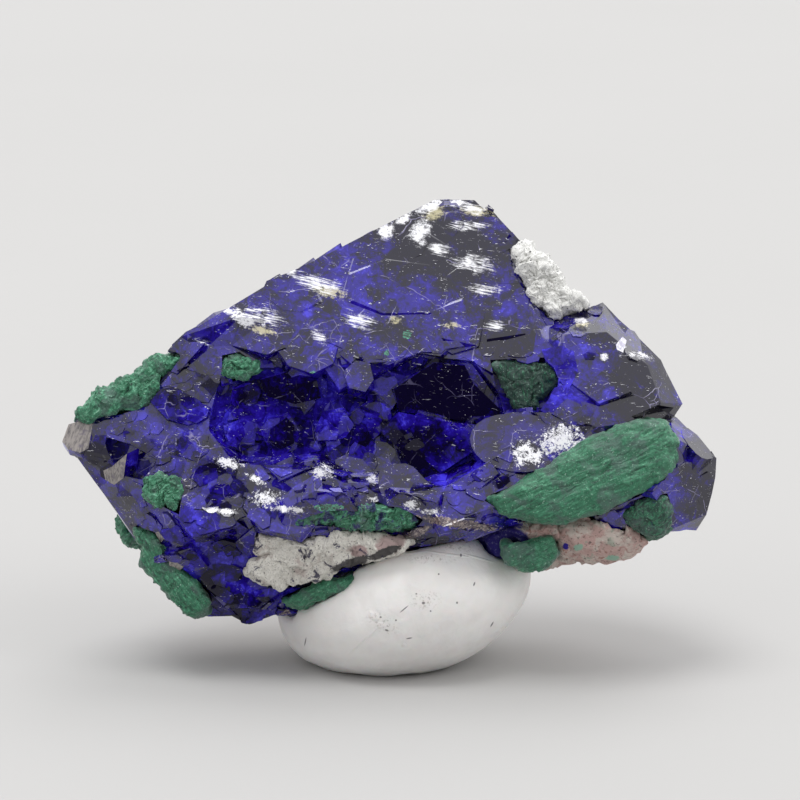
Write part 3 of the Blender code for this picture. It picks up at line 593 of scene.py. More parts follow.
# Faces that stand out by themselves: (material, lean up and right, lift, corners), the lean None where the
# face lies on the stone as it is
FACETS = [
    # The first four faces carry a painted reflection of something pale
    (MIRROR_PAINTED, None, 0.03, ((66, 441), (72, 424), (90, 419), (96, 424), (92, 448), (84, 452), (72, 449))),
    (MIRROR_PAINTED, None, 0.04, ((106, 470), (115, 466), (131, 453), (127, 477), (117, 484), (108, 479))),
    (MIRROR_PAINTED, None, 0.04, ((158, 531), (166, 528), (170, 535), (163, 541))),
    (MIRROR_PAINTED, None, 0.04, ((172, 556), (183, 553), (189, 562), (180, 571), (172, 566))),
    (GREY, None, 0.03, ((676, 430), (690, 427), (713, 457), (700, 459), (688, 450))),
    # These two faces carry a painted white flash of the light
    (FLASH_PAINTED, None, 0.05, ((614, 345), (621, 337), (625, 341), (621, 353), (615, 350))),
    (FLASH_PAINTED, None, 0.05, ((598, 355), (602, 354), (604, 360), (600, 363))),
    (DEEP_BLACK, None, 0.05, ((581, 355), (586, 352), (594, 354), (592, 360), (583, 360))),
    (DEEP, None, 2.45, ((489, 356), (560, 356), (567, 366), (560, 387), (551, 406), (542, 412),
        (505, 412), (496, 399), (489, 380))),
    (BODY, None, 0.03, ((511, 353), (524, 350), (541, 352), (537, 361), (526, 364), (516, 361))),
    (BODY, None, 0.03, ((540, 350), (560, 346), (572, 352), (576, 372), (566, 390), (557, 380),
        (552, 368), (544, 361))),
    (GLOW, None, 0.03, ((566, 384), (572, 398), (566, 412), (548, 416), (538, 410), (546, 400),
        (552, 388))),
    (DEEP_BLACK, (2, 3), 0.5, ((394, 389), (434, 363), (464, 366), (473, 384), (503, 413), (487, 424),
        (399, 411))),
    (DEEP, (1, -4), 0.2, ((381, 432), (399, 412), (440, 421), (484, 425), (470, 452), (440, 472),
        (408, 455))),
    (DEEP_BLACK, (3, -3), 0.3, ((335, 420), (352, 418), (366, 424), (372, 438), (366, 447), (344, 445),
        (334, 434))),
    (DEEP_BLACK, (0, 5), 0.3, ((399, 447), (420, 455), (440, 472), (472, 490), (474, 505), (430, 492),
        (412, 470))),
    (DEEP, (2, 5), 0.2, ((240, 404), (262, 392), (296, 396), (306, 416), (290, 438), (258, 440),
        (240, 424))),
    (DEEP_BLACK, (-3, -4), 0.25, ((262, 380), (290, 372), (318, 380), (322, 398), (296, 404), (268, 396))),
    (BODY, (18, -4), 0.35, ((369, 379), (378, 366), (388, 368), (397, 380), (399, 398), (392, 409),
        (378, 412), (368, 402))),
    (BODY, (20, 3), 0.25, ((344, 372), (356, 361), (370, 363), (374, 380), (366, 392), (350, 388))),
    (BODY, (20, 0), 0.20, ((316, 433), (326, 429), (340, 431), (337, 439), (319, 440))),
    (BODY, (17, 0), 0.35, ((280, 352), (300, 346), (338, 348), (334, 364), (314, 374), (290, 366))),
    (GREY, (17, -3), 0.15, ((468, 434), (478, 420), (500, 413), (530, 414), (564, 422), (596, 434),
        (582, 454), (552, 466), (516, 472), (486, 464), (471, 450))),
    (BODY, (18, 2), 0.2, ((336, 459), (352, 451), (368, 456), (378, 472), (376, 488), (352, 494),
        (338, 480))),
    (GREY, (18, -2), 0.25, ((377, 470), (392, 463), (410, 462), (423, 476), (438, 492), (425, 503),
        (398, 508), (381, 494))),
]
FACET_SUNK = 1.4
FACET_SPREAD = 0.08
# Where the front has the upper face's material: above a level, or above a lower one on the right
UPPER_ABOVE = 6.8
RIGHT_OF = 11.5
RIGHT_ABOVE = 1.5
# A face belongs to the front where its direction's y is below this
FRONT_FACING = -0.1
# The broad upper face is smoother than the solid's plates: its ellipse and a point of it in pixels, what is
# left of the plates' height, how high they may be, and the width of the change at the rim
SMOOTH_PLACE = (385, 272, 205, 96, -26)
SMOOTH_PROBE = (400, 280)
SMOOTH_KEPT = 0.12
SMOOTH_REACH = 1.4
SMOOTH_RIM = 0.08


def ellipse_reach(across, up, x, y, half_wide, half_high, angle=0.0):
    """How far out of an ellipse of the front view a point lies: 1 on its rim."""
    middle = from_pixel(x, y)
    turn = math.radians(angle)
    aside, above = across - middle[0], up - middle[1]
    along = (aside * math.cos(turn) - above * math.sin(turn)) / (half_wide * PIXEL)
    over = (aside * math.sin(turn) + above * math.cos(turn)) / (half_high * PIXEL)
    return math.hypot(along, over)


def part_of_front(across, up):
    left, right, bottom, top = HOLLOW
    if any(ellipse_reach(across, up, *place) < 1 for place in CLEAN):
        return "clean"
    if left < across < right and bottom < up < top:
        return "hollow"
    if up < LOWER_BELOW:
        return "lower"
    if up > BROAD_ABOVE and across < BROAD_LEFT_OF:
        return "upper"
    return "middle"


def plate_kind(hit, look):
    if hit is None:
        return "other"
    kind = part_of_front(hit.x, hit.z)
    if look.y > 0.5 or (kind == "clean" and look.y > -0.5):
        return kind
    return "other"


def look_from_front(tree, across, up):
    hit, normal, _, _ = tree.ray_cast(Vector((across, -RAY_START, up)), Vector((0, 1, 0)))
    return hit, normal


def smooth_upper_face(work):
    """Lowers the steps between plates on the broad upper face."""
    work.normal_update()
    tree = BVHTree.FromBMesh(work)
    middle, facing = look_from_front(tree, *from_pixel(*SMOOTH_PROBE))
    for vert in work.verts:
        off = (vert.co - middle).dot(facing)
        reach = ellipse_reach(vert.co.x, vert.co.z, *SMOOTH_PLACE)
        if abs(off) < SMOOTH_REACH and reach < 1:
            share = min(1.0, (1 - reach) / SMOOTH_RIM)
            vert.co -= facing * off * (1 - SMOOTH_KEPT) * share


def corner_on_stone(tree, hit, normal, step):
    """The step to a plate's corner, drawn in until the stone lies level under it."""
    for _ in range(DRAW_TRIES):
        above = hit + step + normal * PLATE_FEEL
        found, facing, _, away = tree.ray_cast(above, -normal, PLATE_FEEL * 2)
        near = found is not None and abs(away - PLATE_FEEL) < PLATE_SLACK
        if near and facing.dot(normal) > PLATE_LEVEL:
            return step
        step = step * DRAW_IN
    return step


def add_plate(group, tree, hit, facing, entry, chance, materials):
    """One thin irregular plate lying on the stone."""
    _, radii, stretches, lie, lifts, tilt = entry
    spread = math.tan(math.radians(tilt))
    lean = Vector([chance.gauss(0, spread) for _ in range(3)])
    normal = (facing + lean).normalized()
    angle = math.radians(lie + chance.gauss(0, LIE_SPREAD))
    along = Vector((math.cos(angle), 0, math.sin(angle)))
    along = (along - normal * along.dot(normal)).normalized()
    aside = normal.cross(along)
    radius = chance.uniform(*radii)
    stretch = chance.uniform(*stretches)
    corners = chance.randint(*PLATE_CORNERS)
    shrink = chance.uniform(*PLATE_FACE)
    lift = chance.uniform(*lifts)
    steps = []
    for i in range(corners):
        turn = 2 * math.pi * (i + chance.uniform(-CORNER_SHIFT, CORNER_SHIFT)) / corners
        reach = radius * chance.uniform(*CORNER_REACH)
        step = along * math.cos(turn) * reach * stretch + aside * math.sin(turn) * reach
        steps.append(corner_on_stone(tree, hit, facing, step))
    work = bmesh.new()
    low = [work.verts.new(hit + step - normal * PLATE_SUNK) for step in steps]
    high = [work.verts.new(hit + step * shrink + normal * lift) for step in steps]
    top = chance.choice((BODY, BODY, GLOW, DARK))
    rim = chance.choice((BODY, DARK, RIM))
    close_slab(work, low, high, top, DARK, rim)
    group.objects.link(bpy.data.objects.new("plate", mesh_of("plate", work, materials)))


def rounded(corners):
    """Cuts every corner of an outline back to its quarter points."""
    cut = []
    for i, (x, y) in enumerate(corners):
        next_x, next_y = corners[(i + 1) % len(corners)]
        cut.append((x * 0.75 + next_x * 0.25, y * 0.75 + next_y * 0.25))
        cut.append((x * 0.25 + next_x * 0.75, y * 0.25 + next_y * 0.75))
    return cut


def add_facet(group, tree, facet, materials):
    """One face with its own lean, cut to its corners in the front view."""
    material, lean, lift, corners = facet
    if material == GREY:
        corners = rounded(corners)
    places = [from_pixel(*corner) for corner in corners]
    middle = [sum(part) / len(places) for part in zip(*places)]
    hit, normal = look_from_front(tree, *middle)
    if lean is not None:
        normal = direction(math.radians(lean[1]), math.radians(lean[0]))
    seat = hit + normal * lift
    work = bmesh.new()
    high, low = [], []
    for across, up in places:
        deep = seat.y - (normal.x * (across - seat.x) + normal.z * (up - seat.z)) / normal.y
        place = Vector((across, deep, up))
        high.append(work.verts.new(place))
        low.append(work.verts.new(place + (place - seat) * FACET_SPREAD - normal * FACET_SUNK))
    close_slab(work, low, high, material, DEEP, DEEP)
    group.objects.link(bpy.data.objects.new("plate", mesh_of("plate", work, materials)))


def plate_group(tree, materials):
    """Plates over every side of the stone, looked for row by row from each side."""
    group = bpy.data.collections.new("plates")
    chance = random.Random(SEED)
    for way in SIDES:
        look = Vector(way)
        first = Vector((0, 0, 1)) if abs(look.z) < 0.5 else Vector((1, 0, 0))
        second = look.cross(first)
        row = -SCAN_HALF
        while row < SCAN_HALF:
            column = -SCAN_HALF
            while column < SCAN_HALF:
                start = first * row + second * column - look * RAY_START
                shift = first * chance.uniform(-SCAN_SHIFT, SCAN_SHIFT)
                shift += second * chance.uniform(-SCAN_SHIFT, SCAN_SHIFT)
                start += shift
                hit, normal, _, _ = tree.ray_cast(start, look)
                entry = PLATES[plate_kind(hit, look)]
                keep = chance.random() < (PLATE_STEP / entry[0]) ** 2
                if hit is not None and keep and -normal.dot(look) > SQUARE_ON:
                    add_plate(group, tree, hit, normal, entry, chance, materials)
                column += PLATE_STEP
            row += PLATE_STEP
    for facet in FACETS:
        add_facet(group, tree, facet, materials)
    return group


def azurite_materials():
    """The stone's materials, in the order of their numbers."""
    return [
        azurite_paint("azurite", 0.015, 0.10, marks_and_glints=lower_layers_and_glints),
        azurite_paint("azurite_glow", 0.06, 0.14, marks_and_glints=lower_layers_and_glints),
        azurite_paint("azurite_dark", -0.03, 0.14, marks_and_glints=lower_layers_and_glints),
        chipped_paint(),
        azurite_paint("azurite_deep", 0.06, 0.30, INDEX_DEEP, lines=0.5),
        azurite_paint("azurite_deep_glow", 0.08, 0.30, INDEX_DEEP_GLOW, lines=0.5),
        azurite_paint("azurite_deep_black", -0.06, 0.16, INDEX_DEEP_BLACK, lines=0.35),
        azurite_paint("azurite_grey", 0.0, 0.04, INDEX, 0.40, lower_layers_and_glints),
        painted_reflection_paint(),
        painted_flash_paint(),
        azurite_paint("azurite_upper", 0.0, 0.04, marks_and_glints=upper_specks_and_glints),
    ]


def front_material(face):
    """The material of a face, changed where the front is deep or belongs to the upper face."""
    middle = face.calc_center_median()
    if face.normal.y > FRONT_FACING or face.material_index not in DEEPER:
        return face.material_index
    if any(ellipse_reach(middle.x, middle.z, *place) < 1 for place in DEEP_PLACES):
        return DEEPER[face.material_index]
    if middle.z > UPPER_ABOVE or (middle.x > RIGHT_OF and middle.z > RIGHT_ABOVE):
        return UPPER
    return face.material_index


def azurite_piece():
    """The stone joined with its plates and facets."""
    materials = azurite_materials()
    work = upright_mesh("azurite_crystals")
    smooth_upper_face(work)
    group = plate_group(BVHTree.FromBMesh(work), materials)

    def join_plates(thing):
        union = thing.modifiers.new("plates", "BOOLEAN")
        union.operation = "UNION"
        union.operand_type = "COLLECTION"
        union.collection = group
        union.solver = "MANIFOLD"

    work = through_modifiers(work, join_plates, materials)
    for plate in list(group.objects):
        bpy.data.objects.remove(plate)
    bpy.data.collections.remove(group)
    for face in work.faces:
        face.material_index = front_material(face)
    made = piece_of("azurite_look", work, materials, False)
    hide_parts("azurite_crystals")
    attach(made, "root")


# Crusts: malachite, clay and rock

# Greens of the malachite: the dark one is also painted shade in the crevices, the light one also painted
# highlight on the tufts, the tip one painted highlight and glint
MALACHITE_DARK_AND_SHADE = rgb(0.006, 0.035, 0.026)
MALACHITE_GREEN = rgb(0.024, 0.150, 0.078)
MALACHITE_LIGHT_AND_HIGHLIGHT = rgb(0.11, 0.40, 0.235)
MALACHITE_PAINTED_HIGHLIGHT = rgb(0.40, 0.62, 0.50)
MALACHITE_GREY = rgb(0.068, 0.105, 0.100)
MALACHITE_BLUE = rgb(0.010, 0.006, 0.11)


def malachite_paint(name, angle, light=0.0, contrast=1.0, blue=0.0):
    """Silky green fibres that run down to the right by an angle in the front view, with painted shade in
    the crevices and painted highlights and glints on the tufts.
    """
    paint = Paint(name)
    fibre = paint.noise(1.0, 5.0, 0.6, 0.4, paint.slanted(angle, 0.7, 6.0))
    patch = paint.noise(0.50, 4.0, 0.6, 0.6)
    tuft = paint.noise(3.6, 4.0, 0.75)
    tone = paint.plus(paint.times(fibre, 0.5), paint.times(tuft, 0.5))
    tone = paint.plus(paint.times(tone, contrast), 0.5 * (1 - contrast) + light)
    # The tone follows the relief's noises: dark down in the crevices and light on the tufts, partly the
    # green's own bands and partly painted shade and highlight
    colour = paint.coat(MALACHITE_DARK_AND_SHADE, MALACHITE_GREEN, tone, 0.38, 0.50)
    colour = paint.coat(colour, MALACHITE_LIGHT_AND_HIGHLIGHT, tone, 0.50, 0.65)
    colour = paint.coat(colour, MALACHITE_GREY, patch, 0.48, 0.64, 0.6)
    # Painted highlight on the highest tufts
    colour = paint.coat(colour, MALACHITE_PAINTED_HIGHLIGHT, tone, 0.60, 0.70, 0.7)
    if blue:
        islands = paint.noise(0.9, 4.0, 0.65, 0.5)
        colour = paint.coat(colour, MALACHITE_BLUE, islands, 0.66 - blue, 0.72 - blue, 0.9)
    # Fine painted glints
    colour = paint.coat(colour, MALACHITE_PAINTED_HIGHLIGHT, paint.noise(8.0, 2.0, 0.6), 0.64, 0.71, 0.6)
    height = paint.plus(fibre, paint.times(tuft, 0.7))
    paint.set(Base_Color=colour, Roughness=0.5, Normal=paint.bump(height, 0.55, 0.12))
    paint.set(Sheen_Weight=0.25, Sheen_Roughness=0.4)
    return paint.material


CLAY_PALE = rgb(0.68, 0.66, 0.61)
CLAY_PALE_STAIN = rgb(0.46, 0.40, 0.37)
CLAY_WHITE = rgb(0.82, 0.82, 0.80)
CLAY_WHITE_STAIN = rgb(0.55, 0.55, 0.54)
CLAY_SHADOW = rgb(0.26, 0.24, 0.22)
# Painted shade of the pits and painted highlight of the raised grain
CLAY_PIT_SHADE = rgb(0.15, 0.14, 0.14)
CLAY_GRAIN_HIGHLIGHT = rgb(0.90, 0.89, 0.87)
CLAY_SPECK = rgb(0.03, 0.03, 0.035)
CLAY_PINK = rgb(0.40, 0.30, 0.29)
CLAY_GREY = rgb(0.085, 0.08, 0.08)
CLAY_BLUE = rgb(0.02, 0.018, 0.06)
# Where the clay turns to pinkish and to dark rock: (x, y, half wide, half high, angle)
PINK_PLACES = [(392, 540, 26, 14, -20), (360, 548, 14, 10, 0)]
GREY_PLACES = [(352, 561, 32, 9, -18), (384, 550, 28, 7, -22)]


def clay_patches(paint, colour, ragged, blue):
    """Pinkish and dark rock laid into the clay, and blue showing through where it is thin."""
    pink = paint.plus(paint.zones(PINK_PLACES, 0.9), ragged)
    colour = paint.coat(colour, CLAY_PINK, pink, 1.20, 1.60)
    grey = paint.plus(paint.zones(GREY_PLACES, 0.9), ragged)
    colour = paint.coat(colour, CLAY_GREY, grey, 1.25, 1.50)
    islands = paint.noise(0.75, 5.0, 0.7, 0.6)
    return paint.coat(colour, CLAY_BLUE, islands, 0.66 - blue, 0.70 - blue, 0.9)


def clay_paint(name, base, stained, specks, blue=0.0):
    """Pale crumbly clay with dark specks, painted shadow in its low grain, painted shade in its pits and
    painted highlights on its raised grain.
    """
    paint = Paint(name)
    grain = paint.noise(5.0, 5.0, 0.7)
    stain = paint.noise(0.7, 5.0, 0.65, 0.5)
    colour = paint.coat(base, stained, stain, 0.50, 0.70)
    # Painted shadow in the low grain, painted shade in the pits, painted highlights on the raised grain
    colour = paint.coat(colour, CLAY_SHADOW, grain, 0.46, 0.30, 0.7)
    colour = paint.coat(colour, CLAY_PIT_SHADE, paint.noise(8.0, 2.0, 0.6), 0.42, 0.34, 0.6)
    colour = paint.coat(colour, CLAY_GRAIN_HIGHLIGHT, grain, 0.56, 0.74)
    if blue:
        colour = clay_patches(paint, colour, paint.plus(grain, stain), blue)
    colour = paint.blend(paint.dots(specks, 0.16, 0.10, 0.5, 0.55), colour, CLAY_SPECK)
    paint.set(Base_Color=colour, Roughness=0.92, Normal=paint.bump(grain, 0.7, 0.12))
    return paint.material


# Spots in the rock, and its blue drusy end: (x, y, half wide, half high, angle)
BLUE_PLACES = [(563, 544, 5, 5, 0), (500, 522, 40, 7, 4)]
GREEN_PLACES = [(575, 545, 9, 6, -20), (610, 556, 12, 5, 0)]
DRUSY_PLACE = (478, 540, 66, 26, 0)
ROCK_BLUE = rgb(0.03, 0.015, 0.33)
ROCK_GREEN = rgb(0.30, 0.47, 0.37)
DRUSY_DARK = rgb(0.012, 0.004, 0.16)
DRUSY_PALE = rgb(0.25, 0.24, 0.42)
ROCK_PINK = rgb(0.55, 0.37, 0.34)
ROCK_TAN = rgb(0.60, 0.52, 0.47)
ROCK_RED = rgb(0.36, 0.19, 0.16)
ROCK_OLIVE = rgb(0.30, 0.36, 0.29)
ROCK_DARK = rgb(0.13, 0.10, 0.095)
ROCK_PALE_RAISED = rgb(0.80, 0.74, 0.70)


def rock_paint():
    """Pinkish crumbly rock with spots of blue and green in it."""
    paint = Paint("rock")
    grain = paint.noise(3.4, 6.0, 0.75)
    stain = paint.noise(0.7, 5.0, 0.65, 0.7)
    patch = paint.noise(1.1, 4.0, 0.65, 0.4, paint.warped(0.6, 2.0))
    colour = paint.coat(ROCK_PINK, ROCK_TAN, stain, 0.42, 0.58)
    colour = paint.coat(colour, ROCK_RED, patch, 0.55, 0.66)
    colour = paint.coat(colour, ROCK_OLIVE, patch, 0.42, 0.34, 0.7)
    # Darker in the low grain and paler on the raised grain, as the bumps go
    colour = paint.coat(colour, ROCK_DARK, grain, 0.46, 0.34)
    colour = paint.coat(colour, ROCK_PALE_RAISED, grain, 0.58, 0.72, 0.8)
    ragged = paint.times(grain, 2.0)
    for places, spot in ((GREEN_PLACES, ROCK_GREEN), (BLUE_PLACES, ROCK_BLUE)):
        colour = paint.coat(colour, spot, paint.plus(paint.zones(places, 0.95), ragged), 1.35, 1.55)
    drusy = paint.plus(paint.zone(*DRUSY_PLACE), paint.times(grain, 0.5))
    blues = paint.coat(DRUSY_DARK, DRUSY_PALE, grain, 0.52, 0.68)
    colour = paint.coat(colour, blues, drusy, 0.6, 0.8)
    paint.set(Base_Color=colour, Roughness=0.8, Normal=paint.bump(grain, 0.8, 0.15))
    return paint.material


# Crusts by slot: (node, paint, levels of cuts, swell, knob height, knob size, wander, rise of the fibres)
CRUSTS = {
    "malachite": [
        ("malachite_fan", "silky", 3, 0.28, 0.18, 1.6, 0.30, 24),
        ("malachite_crest", "velvet", 4, 0.12, 0.26, 0.8, 0.60, None),
        ("malachite_pocket", "dark", 3, 0.36, 0.24, 0.6, 0.60, None),
        ("malachite_upper_speck", "velvet", 4, 0.26, 0.26, 0.45, 0.60, None),
        ("malachite_lower_speck", "velvet", 4, 0.26, 0.26, 0.45, 0.60, None),
        ("malachite_ribbon", "steep", 3, 0.22, 0.20, 1.0, 0.50, -56),
        ("malachite_knob", "velvet", 3, 0.20, 0.24, 0.6, 0.45, None),
        ("malachite_seam", "mixed", 4, 0.18, 0.26, 0.6, 0.60, None),
        ("malachite_keel", "silky", 3, 0.22, 0.20, 0.8, 0.45, 24),
        ("malachite_foot", "silky", 3, 0.22, 0.18, 0.8, 0.40, 24),
        ("malachite_cushion", "cushion", 3, 0.26, 0.14, 0.7, 0.50, None),
        ("malachite_back", "velvet", 3, 0.24, 0.28, 0.7, 0.45, None),
    ],
    "clay": [
        ("clay_seam", "pale", 4, 0.24, 0.10, 0.5, 0.65, None),
        ("clay_crest", "white", 4, 0.26, 0.40, 0.8, 0.45, None),
    ],
    "matrix": [
        ("matrix_rock", "rock", 2, 0.16, 0.40, 0.8, 0.30, None),
    ],
}
# Fibres: how fast they change along, across and into the stone, and how much of the relief is theirs
FIBRE_GRAIN = (0.45, 2.6, 1.5)
FIBRE_SHARE = 0.65
# The outline wanders at two sizes, and less towards the viewer than across
WANDER_LONG = 1.3
WANDER_SHORT = 0.45
WANDER_DEEP = 0.3


def crust_relief(place, knob_size, fibre):
    """The height of the bumps at a place: lumps, and strands where the crust has fibres."""
    lump = noise.fractal(place / knob_size, 0.7, 2.1, 4)
    if fibre is None:
        return lump
    angle = math.radians(fibre)
    along = place.x * math.cos(angle) + place.z * math.sin(angle)
    aside = place.z * math.cos(angle) - place.x * math.sin(angle)
    long, wide, deep = FIBRE_GRAIN
    strand = noise.fractal(Vector((along * long, aside * wide, place.y * deep)), 0.8, 2.0, 3)
    return (1 - FIBRE_SHARE) * lump + FIBRE_SHARE * strand


def crust_piece(node, slot, material, levels, swell, knob, knob_size, wander, fibre):
    """A CAD patch grown a little, to meet the stone, with a ragged outline and its natural bumps."""

    def cut_finer(thing):
        finer = thing.modifiers.new("finer", "SUBSURF")
        finer.subdivision_type = "SIMPLE"
        finer.levels = levels
        finer.render_levels = levels
        soften = thing.modifiers.new("soften", "SMOOTH")
        soften.factor = 0.5
        soften.iterations = 3 * levels

    work = through_modifiers(upright_mesh(node), cut_finer)
    steps = []
    for vert in work.verts:
        place = vert.co
        relief = crust_relief(place, knob_size, fibre)
        drift = noise.noise_vector(place / WANDER_LONG) * wander
        drift += noise.noise_vector(place / WANDER_SHORT) * wander * 0.5
        drift.y *= WANDER_DEEP
        steps.append(vert.normal * (swell + knob * relief) + drift)
    for vert, step in zip(work.verts, steps):
        vert.co += step
    made = piece_of(node + "_look", work, [material], True)
    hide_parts(node)
    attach(made, "root")


def crusts():
    noise.seed_set(SEED)
    paints = {
        "silky": malachite_paint("malachite_fibrous", -24, 0.0, 0.75),
        "steep": malachite_paint("malachite_steep", 56, 0.0, 0.9),
        "velvet": malachite_paint("malachite_velvet", -40, 0.03),
        "mixed": malachite_paint("malachite_mixed", -20, 0.03, 1.0, 0.14),
        # The pocket's malachite is painted darker, partly for the shade in the hollow that it lines
        "dark": malachite_paint("malachite_pocket_shaded", 80, -0.12),
        "cushion": malachite_paint("malachite_cushion", -40, -0.07, 1.0, 0.06),
        "pale": clay_paint("clay_pale", CLAY_PALE, CLAY_PALE_STAIN, 2.2, 0.07),
        "white": clay_paint("clay_white", CLAY_WHITE, CLAY_WHITE_STAIN, 1.5),
        "rock": rock_paint(),
    }
    for slot, rows in CRUSTS.items():
        for node, paint, *shape in rows:
            crust_piece(node, slot, paints[paint], *shape)


# Putty

# The ball's grain, swell and waves, and the height under which it lies flat, in mm
PUTTY_GRAIN = 0.32
PUTTY_SWELL = 0.16
PUTTY_WAVE = 0.10
PUTTY_WAVE_GRAIN = 0.22
PUTTY_FOOT = 0.03
PUTTY_GREY = rgb(0.79, 0.77, 0.755)
PUTTY_WHITE = rgb(0.89, 0.875, 0.86)
DOT_COLOUR = rgb(0.09, 0.08, 0.09)
GRIME_COLOUR = rgb(0.28, 0.24, 0.22)
# Creases in upright millimetres: (start, end, half width, depth)
CREASES = [
    ((-6.5, -8.2, -11.6), (-2.0, -10.6, -13.0), 0.35, 0.12),
    ((-3.6, -10.4, -12.2), (-1.8, -10.8, -14.6), 0.25, 0.10),
    ((4.4, -9.8, -11.0), (8.0, -8.4, -10.2), 0.5, 0.10),
]
# Specks stuck to the putty: (x, y, half wide, half high, angle)
PUTTY_DOTS = [
    (423, 599, 2.2, 1.8, 0), (460, 553, 1.3, 2.2, 0), (381, 613, 1.5, 1.2, 0), (387, 626, 2.6, 1.3, 20),
    (456, 599, 1.3, 1.5, 0), (473, 581, 1.1, 2.8, 20), (512, 630, 1.8, 1.6, 0), (404, 605, 7.0, 0.8, -40),
    (350, 678, 2.0, 1.1, 10), (396, 616, 1.2, 1.2, 0), (409, 634, 4.0, 0.9, -10), (438, 571, 1.2, 1.2, 0),
    (306, 640, 0.8, 6.0, 12), (491, 622, 1.0, 4.0, 30), (416, 590, 1.2, 1.0, 0), (430, 607, 1.1, 1.1, 0),
]
PUTTY_GRIME = [(382, 618, 26, 12, 30), (424, 596, 22, 14, 0), (432, 556, 40, 7, 0), (455, 545, 50, 6, 4)]
# Chips and creases that stand up from it
PUTTY_SCUFFS = [
    (374, 612, 8, 5, 40), (381, 621, 5, 4, 0), (370, 632, 16, 1.4, -48), (360, 640, 18, 1.2, -46),
    (404, 641, 3, 2.5, 0), (398, 552, 34, 1.6, -6), (448, 552, 30, 1.5, 8), (478, 556, 20, 1.4, 16),
]


def putty_paint():
    paint = Paint("putty")
    cloud = paint.noise(0.16, 4.0, 0.6, 0.3)
    fine = paint.noise(2.6, 4.0, 0.75)
    colour = paint.coat(PUTTY_GREY, PUTTY_WHITE, cloud, 0.35, 0.65)
    dot = paint.most(paint.dots(0.55, 0.05, 0.03, 0.55, 0.6), paint.zones(PUTTY_DOTS, 0.6))
    colour = paint.blend(paint.times(dot, 0.85), colour, DOT_COLOUR)
    grime = paint.step(paint.noise(5.0, 3.0, 0.7), 0.52, 0.64)
    grime = paint.times(paint.zones(PUTTY_GRIME, 0.95), grime)
    colour = paint.blend(paint.times(grime, 0.55), colour, GRIME_COLOUR)
    rough = paint.plus(paint.times(paint.noise(1.2, 4.0, 0.6), 0.25), 0.36)
    height = paint.plus(paint.noise(0.9, 6.0, 0.55, 0.4), paint.times(fine, 0.12))
    height = paint.plus(height, paint.times(paint.zones(PUTTY_SCUFFS, 0.7), 0.7))
    paint.set(Base_Color=colour, Roughness=rough, Normal=paint.bump(height, 0.4, 0.25))
    paint.set(Subsurface_Weight=0.15, Subsurface_Scale=0.0008)
    return paint.material


def even_out(thing):
    remesh = thing.modifiers.new("even", "REMESH")
    remesh.mode = "VOXEL"
    remesh.voxel_size = PUTTY_GRAIN
    soften = thing.modifiers.new("soften", "SMOOTH")
    soften.factor = 0.5
    soften.iterations = 10


def crease_depth(place, start, end, wide, deep):
    """How deep a crease is at a place, fading out at its ends and sides."""
    start = Vector(start)
    line = Vector(end) - start
    share = max(0.0, min(1.0, (place - start).dot(line) / line.length_squared))
    away = (place - start - line * share).length
    return deep * math.exp(-((away / wide) ** 2)) * math.sin(math.pi * min(max(share, 0.02), 0.98))


def putty_piece():
    """The putty ball: the CAD ball rounded off and grown to meet the stone, with a few creases."""
    work = through_modifiers(upright_mesh("putty_support"), even_out)
    for vert in work.verts:
        step = PUTTY_SWELL + PUTTY_WAVE * noise.fractal(vert.co * PUTTY_WAVE_GRAIN, 0.8, 2.0, 3)
        for crease in CREASES:
            step -= crease_depth(vert.co, *crease)
        vert.co += vert.normal * step
        world = STAND @ vert.co
        if world.z < PUTTY_FOOT * MM:
            world.z = 0.0
            vert.co = UPRIGHT @ world
    made = piece_of("putty_look", work, [putty_paint()], True)
    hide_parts("putty_support")
    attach(made, "root")


# Surroundings

FLOOR_HALF = 4.0
FLOOR_DARKER = rgb(0.448, 0.443, 0.438)
FLOOR_LIGHTER = rgb(0.462, 0.457, 0.452)
# The dark of the room behind the viewer: its height, and where it starts to fade and ends, in degrees
ROOM_RISE = 6
ROOM_CORE = 24
ROOM_RIM = 40
ROOM_DARK = 0.05
SKY_LIGHT = 0.95
# Lamps: (name, azimuth from the viewer to the right, height, strength, spread), degrees
SUNS = [
    ("sun_key", -60, 78, 1.3, 30),
    ("sun_back", 150, 58, 0.8, 40),
    ("sun_right", 70, 38, 0.5, 30),
]


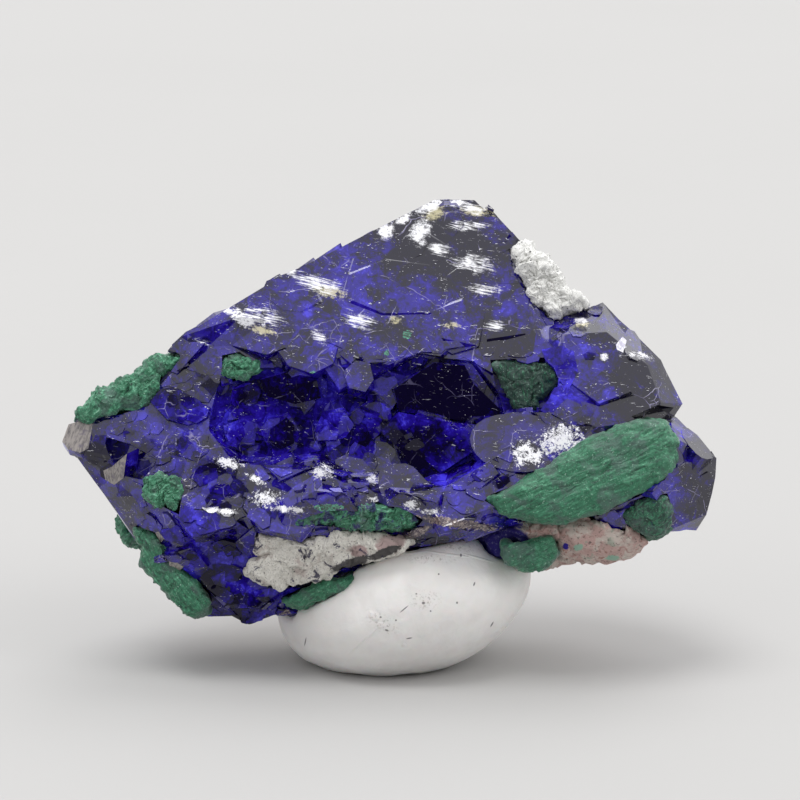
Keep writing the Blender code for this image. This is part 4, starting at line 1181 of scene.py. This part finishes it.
def add_floor():
    mesh = bpy.data.meshes.new("floor")
    corners = [(-1, -1), (1, -1), (1, 1), (-1, 1)]
    mesh.from_pydata([(x * FLOOR_HALF, y * FLOOR_HALF, 0) for x, y in corners], [], [(0, 1, 2, 3)])
    floor = in_scene("floor", mesh)
    paint = Paint("floor")
    cloud = paint.noise(0.02, 2.0)
    paint.set(Base_Color=paint.blend(cloud, FLOOR_DARKER, FLOOR_LIGHTER), Roughness=0.8)
    floor.data.materials.append(paint.material)


def add_world():
    """Even pale light from all round, with the dark of the room behind the viewer."""
    world = bpy.data.worlds.new("studio")
    world.use_nodes = True
    bpy.context.scene.world = world
    tree = world.node_tree
    background = tree.nodes["Background"]
    place = tree.nodes.new("ShaderNodeTexCoord").outputs["Generated"]
    rise = math.radians(ROOM_RISE)
    dot = tree.nodes.new("ShaderNodeVectorMath")
    dot.operation = "DOT_PRODUCT"
    tree.links.new(place, dot.inputs[0])
    dot.inputs[1].default_value = (0.0, -math.cos(rise), math.sin(rise))
    reach = tree.nodes.new("ShaderNodeMapRange")
    reach.interpolation_type = "SMOOTHSTEP"
    reach.inputs["From Min"].default_value = math.cos(math.radians(ROOM_RIM))
    reach.inputs["From Max"].default_value = math.cos(math.radians(ROOM_CORE))
    reach.inputs["To Min"].default_value = SKY_LIGHT
    reach.inputs["To Max"].default_value = ROOM_DARK
    tree.links.new(dot.outputs["Value"], reach.inputs["Value"])
    tree.links.new(reach.outputs[0], background.inputs["Color"])
    background.inputs["Strength"].default_value = 1.0


def add_suns():
    for name, azimuth, elevation, strength, spread in SUNS:
        light = bpy.data.lights.new(name, "SUN")
        light.energy = strength
        light.angle = math.radians(spread)
        way = direction(math.radians(azimuth), math.radians(elevation))
        in_scene(name, light).rotation_euler = way.to_track_quat("Z", "Y").to_euler()


def add_camera():
    camera = bpy.data.cameras.new("camera")
    camera.sensor_width = SENSOR
    camera.lens = SENSOR * VIEW_DISTANCE / VIEW_WIDTH
    camera.clip_start = 0.01
    eye = in_scene("camera", camera)
    eye.location = STAND @ Vector((0, -VIEW_DISTANCE, VIEW_UP))
    eye.rotation_euler = (math.radians(90) - LEAN_BACK, 0, 0)
    bpy.context.scene.camera = eye


def main():
    azurite_piece()
    crusts()
    putty_piece()
    add_floor()
    add_world()
    add_suns()
    add_camera()
    bpy.context.scene.view_settings.view_transform = "Standard"


main()
